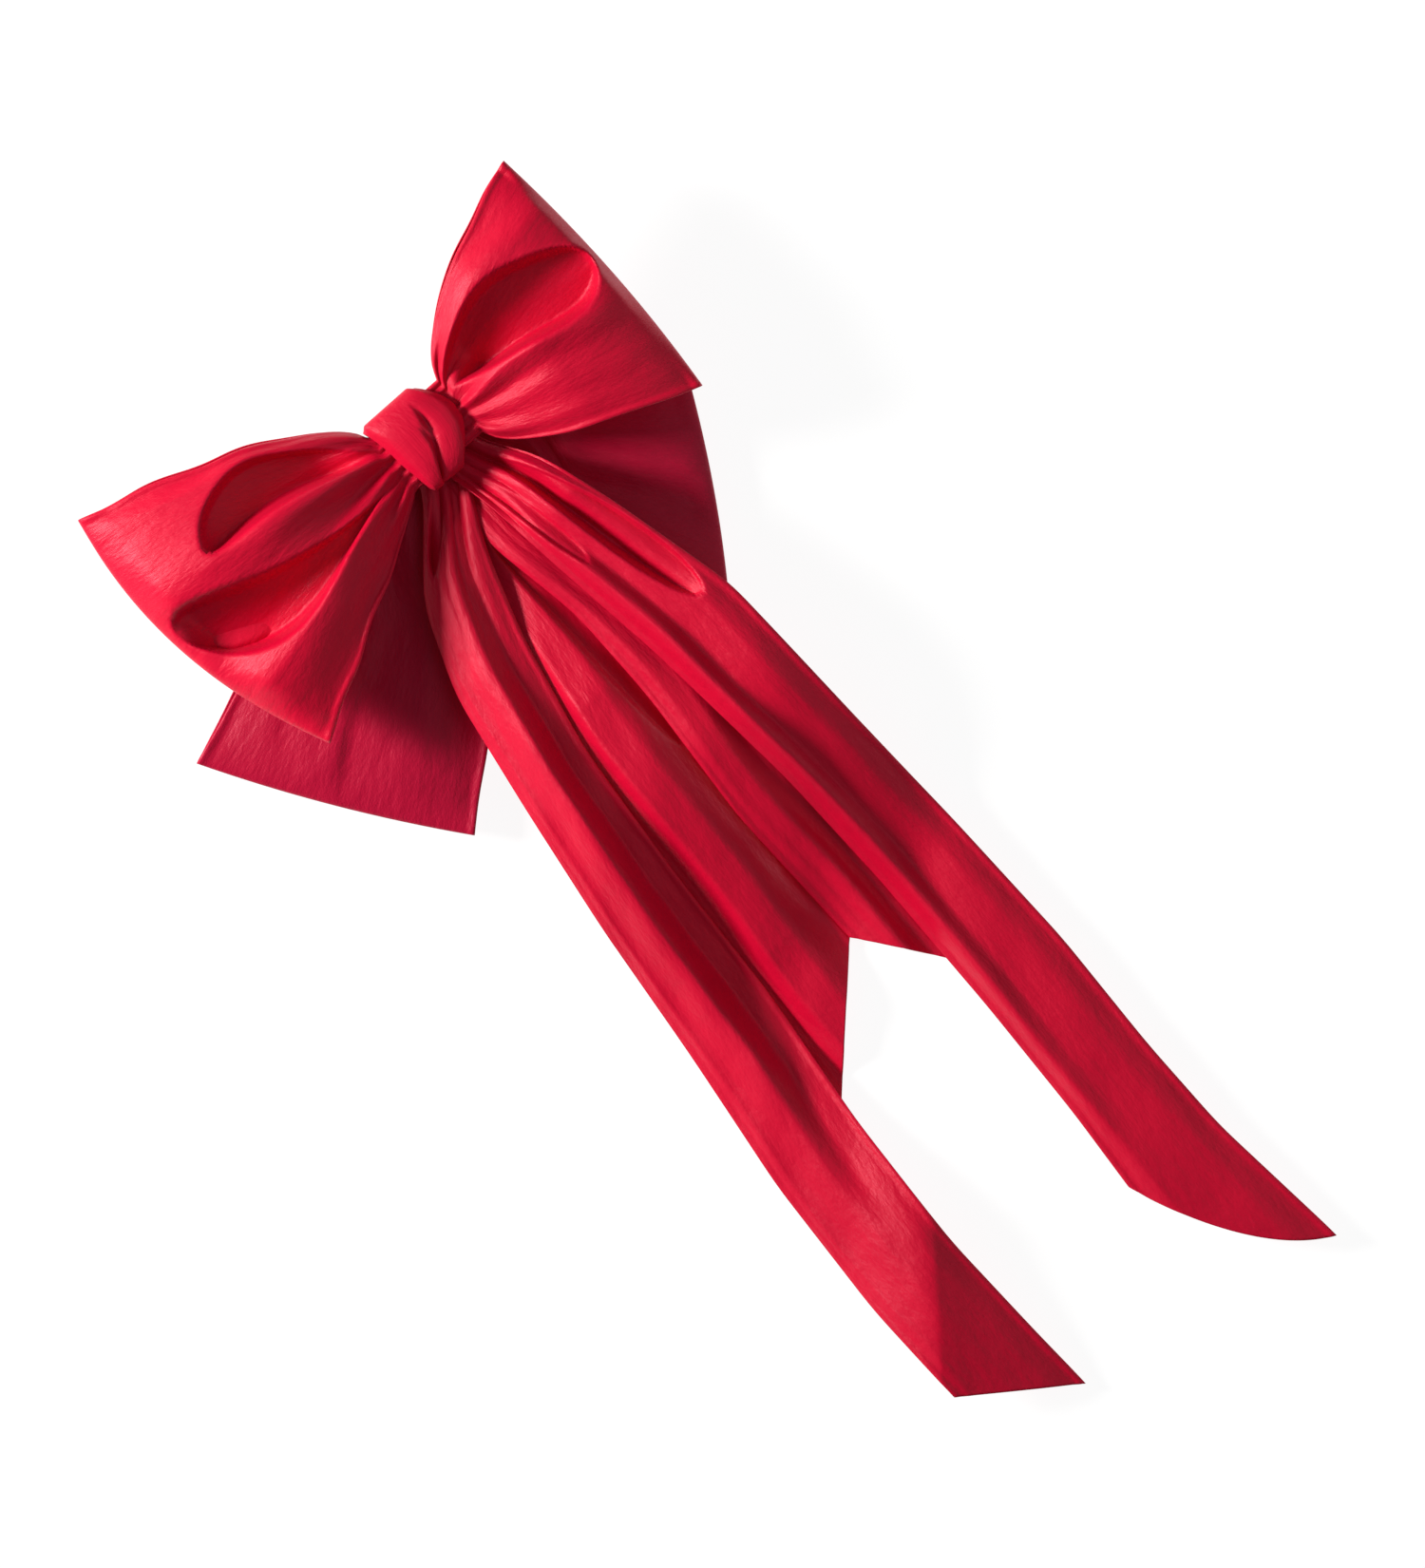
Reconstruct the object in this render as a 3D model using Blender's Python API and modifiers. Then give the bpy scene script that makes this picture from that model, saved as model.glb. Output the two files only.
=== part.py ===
"""Two-tier satin hair bow with four gathered tails on a spring hair clip.

Units are metres, +Z is up. The bow lies on its back: the clip is underneath, its clasp arm
rests on the plane z = 0, the loops point along +X and -X and the tails run along -Y.
The origin is on the clasp arm's outer face, straight below the middle of the knot.
"""

import math

import bmesh
import bpy
import numpy as np
from mathutils import Matrix, Vector

MM = 0.001

# --- Driving dimensions -------------------------------------------------------------------
REST_GAP = 0.3 * MM            # air left between pieces that rest on each other
RUN_GAP = 0.1 * MM             # radial play of the clasp arm on its pin
SIDE_GAP = 0.3 * MM            # play beside the clasp arm

CLIP_LENGTH = 80 * MM
CLIP_WIDTH = 9.2 * MM
SHEET_STEEL = 1.0 * MM         # base plate
EAR_STEEL = 0.8 * MM
EAR_HALF_LENGTH = 2.0 * MM
EAR_BELOW_PIN = 1.6 * MM
ARM_STEEL = 0.9 * MM
ARM_WIDTH = 7.0 * MM
HAIR_GAP = 7.3 * MM            # between the clasp arm and the base plate
PIN_RADIUS = 0.75 * MM
BARREL_WALL = 0.9 * MM

FELT_SIZE = (CLIP_LENGTH + 6 * MM, 15 * MM)
FELT_THICKNESS = 1.2 * MM

CLOTH = 1.0 * MM               # a doubled, seamed layer of satin
LAYER_GAP = 0.5 * MM           # air between one tail and the next
LAYER_STEP = CLOTH + LAYER_GAP
TAIL_CLEARANCE = 2.0 * MM      # between the rear tier's root and the lowest tail

REAR_ROOT_HEIGHT = 4.6 * MM    # gathered middle of the rear tier
REAR_FALL_START = 40 * MM      # distance from the knot where the rear loops begin to droop
REAR_SPREAD = 82 * MM          # and where they are fullest
FRONT_ROOT_HEIGHT = 6.0 * MM
FRONT_LOFT = 25 * MM           # how far the front loops puff up
FRONT_RISE = 20 * MM           # the stretch past the knot over which their middle rises
ROOT_HALF_WIDTH = 11 * MM      # half of the gathered width at the knot
FAN_POWER = 0.85               # how soon the cloth fans out from the knot
FOLD_HALF_HEIGHT = 1.1 * CLOTH # the closed outer fold, from its middle to its top


# Each loop: reach from the knot to its outer fold, half the fold's length, how far it swings
# towards the tails, and how much its outer fold slants from square, longer side by the tails.
FRONT_LOOPS = {
    -1: {"reach": 101 * MM, "half_edge": 54 * MM, "swing": 0, "slant": math.radians(-7)},
    1: {"reach": 80 * MM, "half_edge": 49 * MM, "swing": 0, "slant": 0},
}
REAR_LOOPS = {
    -1: {"reach": 124 * MM, "half_edge": 47 * MM, "swing": math.radians(34), "slant": 0},
    1: {"reach": 97 * MM, "half_edge": 40 * MM, "swing": math.radians(55),
        "slant": math.radians(23)},
}

KNOT_WIDTH = 29 * MM           # along X
KNOT_CLOTH = 1.4 * MM
PINCH = KNOT_WIDTH / 2 + 1.5 * MM    # half length of the gathered stretch in the knot

SHANK_RADIUS = 1.3 * MM        # wound thread that holds the stack together
THREAD_RADIUS = 0.45 * MM
FLANGE_RADIUS = 2.6 * MM       # wound ends of the shank
FOOT_THICKNESS = 0.8 * MM
HEAD_THICKNESS = 0.6 * MM
STITCH_PLACES = {"left": 9 * MM - CLIP_LENGTH / 2, "right": CLIP_LENGTH / 2 - 10 * MM}
SQUARENESS = 0.4               # exponent of the rounded rectangles of thread and knot

TAIL_DROP_START = 126 * MM     # distance from the knot where the tails leave the loops
TAIL_DROP_END = 215 * MM       # and where they lie on the table

# Each tail: its stations down the ribbon (y, left x, right x), and where its two corners end.
TAILS = {
    "tail_short_left": {
        "layer": 0,
        "stations": [(10, -7, 6), (-12, -8, 5), (-40, -24, -1), (-75, -33, 2), (-110, -40, 1),
                     (-160, -43, -3), (-214, -46, -5), (-262, -47, -7)],
        "ends": (-258, -214),
    },
    "tail_long_left": {
        "layer": 1,
        "stations": [(10, -7, 6), (-12, -10, 5), (-40, -37, -10), (-70, -49, -20),
                     (-110, -56, -29), (-160, -64, -34), (-210, -70, -37), (-260, -77, -43),
                     (-310, -80, -46), (-350, -80, -45), (-376, -79, -44)],
        "ends": (-349, -375),
    },
    "tail_short_right": {
        "layer": 2,
        "stations": [(10, -6, 7), (-12, -5, 8), (-40, -8, 12), (-75, -2, 24), (-110, -2, 31),
                     (-160, -6, 31), (-214, -5, 30), (-262, -3, 28)],
        "ends": (-214, -261),
    },
    "tail_long_right": {
        "layer": 3,
        "stations": [(10, -6, 7), (-12, -4, 12), (-28, 0, 23), (-55, 3, 31), (-101, 9, 42),
                     (-160, 14, 44), (-206, 15, 46), (-260, 14, 47), (-305, 12, 45),
                     (-340, 9, 45), (-393, 8, 50)],
        "ends": (-336, -393),
    },
}

# --- Heights worked out from the stack, bottom to top ----------------------------------------
BASE_BOTTOM = ARM_STEEL + HAIR_GAP
BASE_TOP = BASE_BOTTOM + SHEET_STEEL
FELT_BOTTOM = BASE_TOP + REST_GAP
FELT_TOP = FELT_BOTTOM + FELT_THICKNESS
STITCH_TOP = FELT_TOP + REST_GAP + 2 * THREAD_RADIUS
REAR_BOTTOM = STITCH_TOP + REST_GAP
REAR_TOP = REAR_BOTTOM + REAR_ROOT_HEIGHT
TAIL_BOTTOM = REAR_TOP + TAIL_CLEARANCE
TAIL_TOP = TAIL_BOTTOM + (len(TAILS) - 1) * LAYER_STEP + CLOTH
SHANK_TOP = TAIL_TOP + REST_GAP + HEAD_THICKNESS
KNOT_BOTTOM = SHANK_TOP + REST_GAP
FRONT_BOTTOM = KNOT_BOTTOM + KNOT_CLOTH + REST_GAP
FRONT_TOP = FRONT_BOTTOM + FRONT_ROOT_HEIGHT
KNOT_TOP = FRONT_TOP + REST_GAP + KNOT_CLOTH

PIN_X = -CLIP_LENGTH / 2 + 3.0 * MM
HEAD_OVERHANG = 0.5 * MM       # of the pin's heads, also their thickness
BARREL_RADIUS = PIN_RADIUS + RUN_GAP + BARREL_WALL
PIN_Z = BARREL_RADIUS + 0.2 * MM

STRIP_THICKNESS = 0.4 * MM
STRIP_WIDTH = 5.6 * MM
STRIP_HALF_LENGTH = 26 * MM
STRIP_TOP = BASE_BOTTOM - REST_GAP
STRIP_SAG = 1.7 * MM
RIVET_RADIUS = 0.9 * MM
RIVET_X = -22 * MM

CATCH_X = CLIP_LENGTH / 2 - 4.0 * MM
PRONG_STEEL = 0.6 * MM
PRONG_HALF_LENGTH = 2.0 * MM
WINDOW_HALF_WIDTH = 2.4 * MM
PRONG_TIP_Z = 0.7 * MM
PRONG_INNER = 1.2 * MM         # from the middle to a prong's inner face
BARB_SLOPE = 0.3 * MM          # height of the barb's rising and falling faces
BARB_HEIGHT = 0.8 * MM
TAB_Z = 5.4 * MM
TAB_REACH = 1.6 * MM           # how far the thumb tabs stick out past the plate

RED = (0.62, 0.005, 0.022)
DEEP_RED = (0.42, 0.004, 0.025)


def clear_scene():
    """Remove every object of the open scene."""
    for scene_object in list(bpy.data.objects):
        bpy.data.objects.remove(scene_object, do_unlink=True)


def make_collection(name):
    """Add a collection to the scene."""
    collection = bpy.data.collections.new(name)
    bpy.context.scene.collection.children.link(collection)
    return collection


def make_material(name, colour, roughness, metallic=0.0):
    """Principled material with one colour."""
    material = bpy.data.materials.new(name)
    material.use_nodes = True
    shader = material.node_tree.nodes["Principled BSDF"]
    shader.inputs["Base Color"].default_value = (*colour, 1.0)
    shader.inputs["Roughness"].default_value = roughness
    shader.inputs["Metallic"].default_value = metallic
    return material


class Builder:
    """Keeps the two collections and the materials while the pieces are made."""

    def __init__(self):
        self.parts = make_collection("hair_bow")
        self.cutters = make_collection("hair_bow_cutters")
        self.satin = make_material("red_satin", RED, 0.42)
        self.rear_satin = make_material("deep_red_satin", DEEP_RED, 0.45)
        self.felt = make_material("red_felt", (0.30, 0.004, 0.012), 0.95)
        self.thread = make_material("red_thread", (0.45, 0.005, 0.02), 0.7)
        self.steel = make_material("bright_steel", (0.75, 0.75, 0.77), 0.25, 1.0)
        self.spring_steel = make_material("spring_steel", (0.62, 0.62, 0.65), 0.32, 1.0)

    def add_mesh(self, name, mesh, material=None):
        """Link a mesh as a part, or as a cutter when it has no material."""
        new_object = bpy.data.objects.new(name, mesh)
        if material is None:
            self.cutters.objects.link(new_object)
            new_object.hide_render = True
            new_object.display_type = "WIRE"
        else:
            self.parts.objects.link(new_object)
            mesh.materials.clear()
            mesh.materials.append(material)
        return new_object

    def box(self, name, low, high, material=None):
        """Box between two corners."""
        low, high = Vector(low), Vector(high)
        mesh = bpy.data.meshes.new(name)
        shape = bmesh.new()
        size = high - low
        place = Matrix.Translation((low + high) / 2) @ Matrix.Diagonal((*size, 1.0))
        bmesh.ops.create_cube(shape, size=1.0, matrix=place)
        shape.to_mesh(mesh)
        shape.free()
        return self.add_mesh(name, mesh, material)

    def cylinder(self, name, radius, start, end, material=None, segments=24):
        """Round bar from start to end."""
        start, end = Vector(start), Vector(end)
        along = end - start
        turn = Vector((0, 0, 1)).rotation_difference(along).to_matrix().to_4x4()
        mesh = bpy.data.meshes.new(name)
        shape = bmesh.new()
        bmesh.ops.create_cone(shape, cap_ends=True, segments=segments, radius1=radius,
                              radius2=radius, depth=along.length,
                              matrix=Matrix.Translation((start + end) / 2) @ turn)
        shape.to_mesh(mesh)
        shape.free()
        return self.add_mesh(name, mesh, material)

    def turned(self, name, profile, material, steps=24):
        """Turn a profile of (radius, height) about local Z; it runs from top to bottom."""
        mesh = bpy.data.meshes.new(name)
        points = [(radius, 0.0, height) for radius, height in profile]
        edges = [(index, index + 1) for index in range(len(points) - 1)]
        mesh.from_pydata(points, edges, [])
        new_object = self.add_mesh(name, mesh, material)
        screw = new_object.modifiers.new("turn", "SCREW")
        screw.steps = steps
        screw.render_steps = steps
        screw.use_merge_vertices = True
        screw.merge_threshold = 0.00001
        return new_object

    def outline(self, name, points, half_thickness, material=None):
        """Flat plate from a closed outline in its local XY plane, as a mesh."""
        curve = bpy.data.curves.new(name, "CURVE")
        curve.dimensions = "2D"
        curve.fill_mode = "BOTH"
        curve.extrude = half_thickness
        spline = curve.splines.new("POLY")
        spline.points.add(len(points) - 1)
        for spline_point, (x, y) in zip(spline.points, points):
            spline_point.co = (x, y, 0.0, 1.0)
        spline.use_cyclic_u = True
        return self.curve_to_mesh(name, curve, material)

    def tube(self, name, points, radius, material, cyclic=False):
        """Round thread or wire through points."""
        curve = bpy.data.curves.new(name, "CURVE")
        curve.dimensions = "3D"
        curve.bevel_depth = radius
        curve.bevel_resolution = 2
        curve.use_fill_caps = not cyclic
        spline = curve.splines.new("POLY")
        spline.points.add(len(points) - 1)
        for spline_point, place in zip(spline.points, points):
            spline_point.co = (*place, 1.0)
        spline.use_cyclic_u = cyclic
        return self.curve_to_mesh(name, curve, material)

    def curve_to_mesh(self, name, curve, material):
        """Replace a curve by its welded mesh."""
        guide = bpy.data.objects.new(name + "_guide", curve)
        self.cutters.objects.link(guide)
        bpy.context.view_layer.update()
        evaluated = guide.evaluated_get(bpy.context.evaluated_depsgraph_get())
        mesh = bpy.data.meshes.new_from_object(evaluated)
        bpy.data.objects.remove(guide, do_unlink=True)
        shape = bmesh.new()
        shape.from_mesh(mesh)
        bmesh.ops.remove_doubles(shape, verts=shape.verts, dist=0.000001)
        bmesh.ops.recalc_face_normals(shape, faces=shape.faces)
        shape.to_mesh(mesh)
        shape.free()
        return self.add_mesh(name, mesh, material)

    def combine(self, target, tool, operation):
        """Union or cut with another object, which moves to the cutters if it was a part."""
        if tool.name in self.parts.objects:
            self.parts.objects.unlink(tool)
            self.cutters.objects.link(tool)
        tool.hide_render = True
        tool.display_type = "WIRE"
        modifier = target.modifiers.new(tool.name, "BOOLEAN")
        modifier.operation = operation
        modifier.object = tool

    def swept_strip(self, name, columns, rows, place, material, thickness, offset):
        """Solid strip of cloth: a grid whose points place(u, v) puts in space, u and v 0 to 1."""
        mesh = bpy.data.meshes.new(name)
        shape = bmesh.new()
        bmesh.ops.create_grid(shape, x_segments=columns, y_segments=rows, size=0.5)
        for vertex in shape.verts:
            vertex.co = place(vertex.co.x + 0.5, vertex.co.y + 0.5)
        bmesh.ops.recalc_face_normals(shape, faces=shape.faces)
        shape.to_mesh(mesh)
        shape.free()
        new_object = self.add_mesh(name, mesh, material)
        self.thicken(new_object, thickness, offset)
        return new_object

    @staticmethod
    def thicken(target, thickness, offset):
        """Give a surface its thickness."""
        solid = target.modifiers.new("thickness", "SOLIDIFY")
        solid.thickness = thickness
        solid.offset = offset
        solid.use_rim = True


def smooth_step(value):
    """Ease from 0 to 1 with level ends."""
    value = min(max(value, 0.0), 1.0)
    return value * value * (3.0 - 2.0 * value)


def stadium(length, width, arc_steps=8):
    """Outline with straight sides and round ends, along X."""
    radius = width / 2
    points = []
    for side in (1, -1):
        for step in range(arc_steps + 1):
            angle = -math.pi / 2 + math.pi * step / arc_steps
            x = side * (length / 2 - radius + radius * math.cos(angle))
            points.append((x, side * radius * math.sin(angle)))
    return points


# --- The clip -----------------------------------------------------------------------------------

def build_base_plate(builder):
    """Stamped base plate with the two hinge ears."""
    plate = builder.outline("barrette_base_plate", stadium(CLIP_LENGTH, CLIP_WIDTH),
                            SHEET_STEEL / 2, builder.steel)
    plate.location.z = BASE_BOTTOM + SHEET_STEEL / 2
    inner = ARM_WIDTH / 2 + SIDE_GAP
    for side, label in ((1, "rear"), (-1, "front")):
        ear_y = sorted((side * inner, side * (inner + EAR_STEEL)))
        ear = builder.box("ear_" + label,
                          (PIN_X - EAR_HALF_LENGTH, ear_y[0], PIN_Z - EAR_BELOW_PIN),
                          (PIN_X + EAR_HALF_LENGTH, ear_y[1], BASE_BOTTOM + SHEET_STEEL / 2))
        builder.combine(plate, ear, "UNION")
    pin_bore = builder.cylinder("pin_bore", PIN_RADIUS + RUN_GAP, (PIN_X, -CLIP_WIDTH, PIN_Z),
                                (PIN_X, CLIP_WIDTH, PIN_Z))
    builder.combine(plate, pin_bore, "DIFFERENCE")
    rivet_bore = builder.cylinder("base_rivet_bore", RIVET_RADIUS + RUN_GAP,
                                  (RIVET_X, 0, BASE_BOTTOM - MM), (RIVET_X, 0, BASE_TOP + MM))
    builder.combine(plate, rivet_bore, "DIFFERENCE")


def build_clasp_arm(builder):
    """Flat arm with a rolled barrel at the hinge and a window over the catch."""
    step_up = 1.6 * MM
    ramp_start = CATCH_X - 8.0 * MM
    ramp_end = CATCH_X - 4.5 * MM
    bend_shift = 0.2 * MM
    tip = CATCH_X + 5.0 * MM
    window_half_length = PRONG_HALF_LENGTH + 2 * SIDE_GAP
    profile = [(PIN_X, 0.0), (ramp_start, 0.0), (ramp_end, step_up), (tip, step_up),
               (tip, step_up + ARM_STEEL), (ramp_end - bend_shift, step_up + ARM_STEEL),
               (ramp_start - bend_shift, ARM_STEEL), (PIN_X, ARM_STEEL)]
    arm = builder.outline("barrette_clasp_arm", profile, ARM_WIDTH / 2, builder.steel)
    arm.rotation_euler.x = math.pi / 2
    barrel = builder.cylinder("arm_barrel", BARREL_RADIUS, (PIN_X, -ARM_WIDTH / 2, PIN_Z),
                              (PIN_X, ARM_WIDTH / 2, PIN_Z))
    builder.combine(arm, barrel, "UNION")
    bore = builder.cylinder("arm_bore", PIN_RADIUS + RUN_GAP, (PIN_X, -CLIP_WIDTH, PIN_Z),
                            (PIN_X, CLIP_WIDTH, PIN_Z))
    builder.combine(arm, bore, "DIFFERENCE")
    window = builder.box("catch_window",
                         (CATCH_X - window_half_length, -WINDOW_HALF_WIDTH, 0.0),
                         (CATCH_X + window_half_length, WINDOW_HALF_WIDTH, BASE_BOTTOM))
    builder.combine(arm, window, "DIFFERENCE")


def build_hinge_pin(builder):
    """Headed pin through both ears and the barrel."""
    head_start = ARM_WIDTH / 2 + SIDE_GAP + EAR_STEEL + REST_GAP
    head_end = head_start + HEAD_OVERHANG
    head_radius = PIN_RADIUS + HEAD_OVERHANG
    pin = builder.turned("barrette_hinge_pin",
                         [(0, head_end), (head_radius, head_end), (head_radius, head_start),
                          (PIN_RADIUS, head_start), (PIN_RADIUS, -head_start),
                          (head_radius, -head_start), (head_radius, -head_end), (0, -head_end)],
                         builder.steel)
    pin.location = (PIN_X, 0, PIN_Z)
    pin.rotation_euler.x = math.pi / 2


def build_tension_strip(builder):
    """Arched spring strip under the base plate, and the rivet that holds it."""
    steps = 16

    def strip_top(x):
        return STRIP_TOP - STRIP_SAG * math.cos(0.5 * math.pi * x / STRIP_HALF_LENGTH)

    places = [STRIP_HALF_LENGTH * (2 * step / steps - 1) for step in range(steps + 1)]
    profile = [(x, strip_top(x)) for x in places]
    profile += [(x, strip_top(x) - STRIP_THICKNESS) for x in reversed(places)]
    strip = builder.outline("barrette_tension_strip", profile, STRIP_WIDTH / 2,
                            builder.spring_steel)
    strip.rotation_euler.x = math.pi / 2
    bore = builder.cylinder("strip_rivet_bore", RIVET_RADIUS + RUN_GAP,
                            (RIVET_X, 0, 0), (RIVET_X, 0, BASE_TOP))
    builder.combine(strip, bore, "DIFFERENCE")

    low = strip_top(RIVET_X + RIVET_RADIUS * 2) - STRIP_THICKNESS - REST_GAP
    head = 0.4 * MM
    head_radius = RIVET_RADIUS + 0.7 * MM
    rivet = builder.turned("barrette_strip_rivet",
                           [(0, BASE_TOP), (RIVET_RADIUS, BASE_TOP), (RIVET_RADIUS, low),
                            (head_radius, low), (head_radius, low - head), (0, low - head)],
                           builder.steel)
    rivet.location.x = RIVET_X


def build_catch_prongs(builder):
    """Two sprung prongs that reach through the arm's window, each with a thumb tab."""
    root_z = BASE_BOTTOM - REST_GAP
    outer = PRONG_INNER + PRONG_STEEL
    tab_end = CLIP_WIDTH / 2 + TAB_REACH
    barb_end = WINDOW_HALF_WIDTH - SIDE_GAP
    profile = [(PRONG_INNER, root_z), (PRONG_INNER, PRONG_TIP_Z), (outer, PRONG_TIP_Z),
               (barb_end, PRONG_TIP_Z + BARB_SLOPE), (outer, PRONG_TIP_Z + BARB_HEIGHT),
               (outer, TAB_Z), (tab_end, TAB_Z), (tab_end, TAB_Z + PRONG_STEEL),
               (outer, TAB_Z + PRONG_STEEL), (outer, root_z)]
    for side, label in ((1, "rear"), (-1, "front")):
        outline = [(side * y, z - root_z) for y, z in profile]
        prong = builder.outline("catch_prong_" + label, outline, PRONG_HALF_LENGTH,
                                builder.spring_steel)
        prong.rotation_euler = (math.pi / 2, 0, math.pi / 2)
        prong.location = (CATCH_X, 0, root_z)


def build_felt(builder):
    """Felt pad between the clip and the bow."""
    felt = builder.outline("backing_felt", stadium(*FELT_SIZE), FELT_THICKNESS / 2, builder.felt)
    felt.location.z = (FELT_BOTTOM + FELT_TOP) / 2


def rounded_rectangle(half_width, half_height, steps):
    """Points (across, up) once round a rectangle with soft corners."""
    points = []
    for step in range(steps):
        angle = 2 * math.pi * step / steps
        across = math.copysign(abs(math.cos(angle)) ** SQUARENESS, math.cos(angle))
        upward = math.copysign(abs(math.sin(angle)) ** SQUARENESS, math.sin(angle))
        points.append((half_width * across, half_height * upward))
    return points


def build_clip_stitches(builder):
    """Thread loop round the base plate and the felt near each end of the clip."""
    top = FELT_TOP + REST_GAP + THREAD_RADIUS
    bottom = BASE_BOTTOM - REST_GAP - THREAD_RADIUS
    half_width = FELT_SIZE[1] / 2 + REST_GAP + THREAD_RADIUS
    middle = (top + bottom) / 2
    loop = rounded_rectangle(half_width, (top - bottom) / 2, 20)
    for label, x in STITCH_PLACES.items():
        points = [(x, across, middle + upward) for across, upward in loop]
        builder.tube("clip_stitch_" + label, points, THREAD_RADIUS, builder.thread, cyclic=True)


def build_stitch_shank(builder):
    """Wound thread shank through the rear tier and the tails, wider at both ends."""
    foot = FELT_TOP + REST_GAP
    neck_low = foot + FOOT_THICKNESS
    neck_high = SHANK_TOP - HEAD_THICKNESS
    builder.turned("stitch_shank",
                   [(0, SHANK_TOP), (FLANGE_RADIUS, SHANK_TOP), (FLANGE_RADIUS, neck_high),
                    (SHANK_RADIUS, neck_high), (SHANK_RADIUS, neck_low),
                    (FLANGE_RADIUS, neck_low), (FLANGE_RADIUS, foot), (0, foot)],
                   builder.thread)


def cut_shank_hole(builder, target):
    """Needle hole round the shank."""
    bore = builder.cylinder(target.name + "_bore", SHANK_RADIUS + REST_GAP,
                            (0, 0, FELT_TOP), (0, 0, SHANK_TOP + MM), segments=16)
    builder.combine(target, bore, "DIFFERENCE")


# --- The bow ------------------------------------------------------------------------------------

def past_pinch(distance, reach):
    """How far along the free part of a loop, 0 in the knot to 1 at the outer fold."""
    return min(max((distance - PINCH) / (reach - PINCH), 0.0), 1.0)


def loop_half_height(part, root, loft):
    """Half height of a loop, part of the way from the knot (0) to the fold (1)."""
    close_start = 0.75
    swell = math.sin(math.pi * part ** FAN_POWER) if 0 < part < 1 else 0.0
    taper = 1.0 - smooth_step((part - close_start) / (1.0 - close_start))
    return root / 2 * taper + (loft - root) / 2 * swell + FOLD_HALF_HEIGHT * (1 - taper)


def tier_path(loops, middle, half_height):
    """Closed band in the XZ plane: out along the top of both loops and back underneath.

    middle gives the height of the band's middle line from the distance to the knot, and
    half_height the distance from there to its top, from that distance and the loop's reach.
    """
    steps = 14
    upper = []
    lower = []
    for side in (-1, 1):
        reach = loops[side]["reach"]
        free = reach - PINCH
        distances = [0.0, PINCH / 2] + [PINCH + free * step / steps for step in range(steps + 1)]
        for distance in reversed(distances) if side < 0 else distances[1:]:
            height = half_height(distance, reach)
            upper.append((side * distance, middle(distance) + height))
            lower.append((side * distance, middle(distance) - height))
    return upper + list(reversed(lower))


def build_tier(builder, name, path, loops, material):
    """Band of cloth that follows the closed path, fans out from the knot and swings in plan."""
    swing_share = 0.5
    mesh = bpy.data.meshes.new(name)
    shape = bmesh.new()
    ring = [shape.verts.new((x, -1.0, z)) for x, z in path]
    edges = [shape.edges.new((ring[index - 1], ring[index])) for index in range(len(ring))]
    added = bmesh.ops.extrude_edge_only(shape, edges=edges)["geom"]
    moved = [item for item in added if isinstance(item, bmesh.types.BMVert)]
    bmesh.ops.translate(shape, verts=moved, vec=(0, 2.0, 0))
    bmesh.ops.recalc_face_normals(shape, faces=shape.faces)
    for vertex in shape.verts:
        side = -1 if vertex.co.x < 0 else 1
        loop = loops[side]
        part = past_pinch(abs(vertex.co.x), loop["reach"])
        width = ROOT_HALF_WIDTH + (loop["half_edge"] - ROOT_HALF_WIDTH) * part ** FAN_POWER
        angle = -side * loop["swing"] * smooth_step(part / swing_share)
        y = vertex.co.y * width
        x = vertex.co.x - side * y * math.tan(loop["slant"]) * part
        vertex.co.x = x * math.cos(angle) - y * math.sin(angle)
        vertex.co.y = x * math.sin(angle) + y * math.cos(angle)
    shape.to_mesh(mesh)
    shape.free()
    tier = builder.add_mesh(name, mesh, material)
    builder.thicken(tier, CLOTH, -1.0)
    return tier


def build_front_tier(builder):
    """Front ring of cloth, pinched in the knot, with two tall loops."""
    root_middle = (FRONT_BOTTOM + FRONT_TOP) / 2
    lift = (FRONT_LOFT - FRONT_ROOT_HEIGHT) / 2

    def middle(distance):
        return root_middle + lift * smooth_step((distance - PINCH) / FRONT_RISE)

    def half_height(distance, reach):
        return loop_half_height(past_pinch(distance, reach), FRONT_ROOT_HEIGHT, FRONT_LOFT)

    path = tier_path(FRONT_LOOPS, middle, half_height)
    build_tier(builder, "front_bow_ring", path, FRONT_LOOPS, builder.satin)


def build_rear_tier(builder):
    """Rear ring of cloth; its loops swing towards the tails and droop to the table."""
    root_middle = (REAR_BOTTOM + REAR_TOP) / 2
    loft = REAR_TOP - 1.0 * MM
    belly_middle = loft / 2 + 0.8 * MM
    close_share = 0.28

    def fallen(distance):
        return smooth_step((distance - REAR_FALL_START) / (REAR_SPREAD - REAR_FALL_START))

    def middle(distance):
        return root_middle + (belly_middle - root_middle) * fallen(distance)

    def half_height(distance, reach):
        close = smooth_step((distance / reach - 1.0 + close_share) / close_share)
        full = (REAR_ROOT_HEIGHT + (loft - REAR_ROOT_HEIGHT) * fallen(distance)) / 2
        return full * (1 - close) + FOLD_HALF_HEIGHT * close

    path = tier_path(REAR_LOOPS, middle, half_height)
    tier = build_tier(builder, "rear_bow_ring", path, REAR_LOOPS, builder.rear_satin)
    cut_shank_hole(builder, tier)


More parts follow.
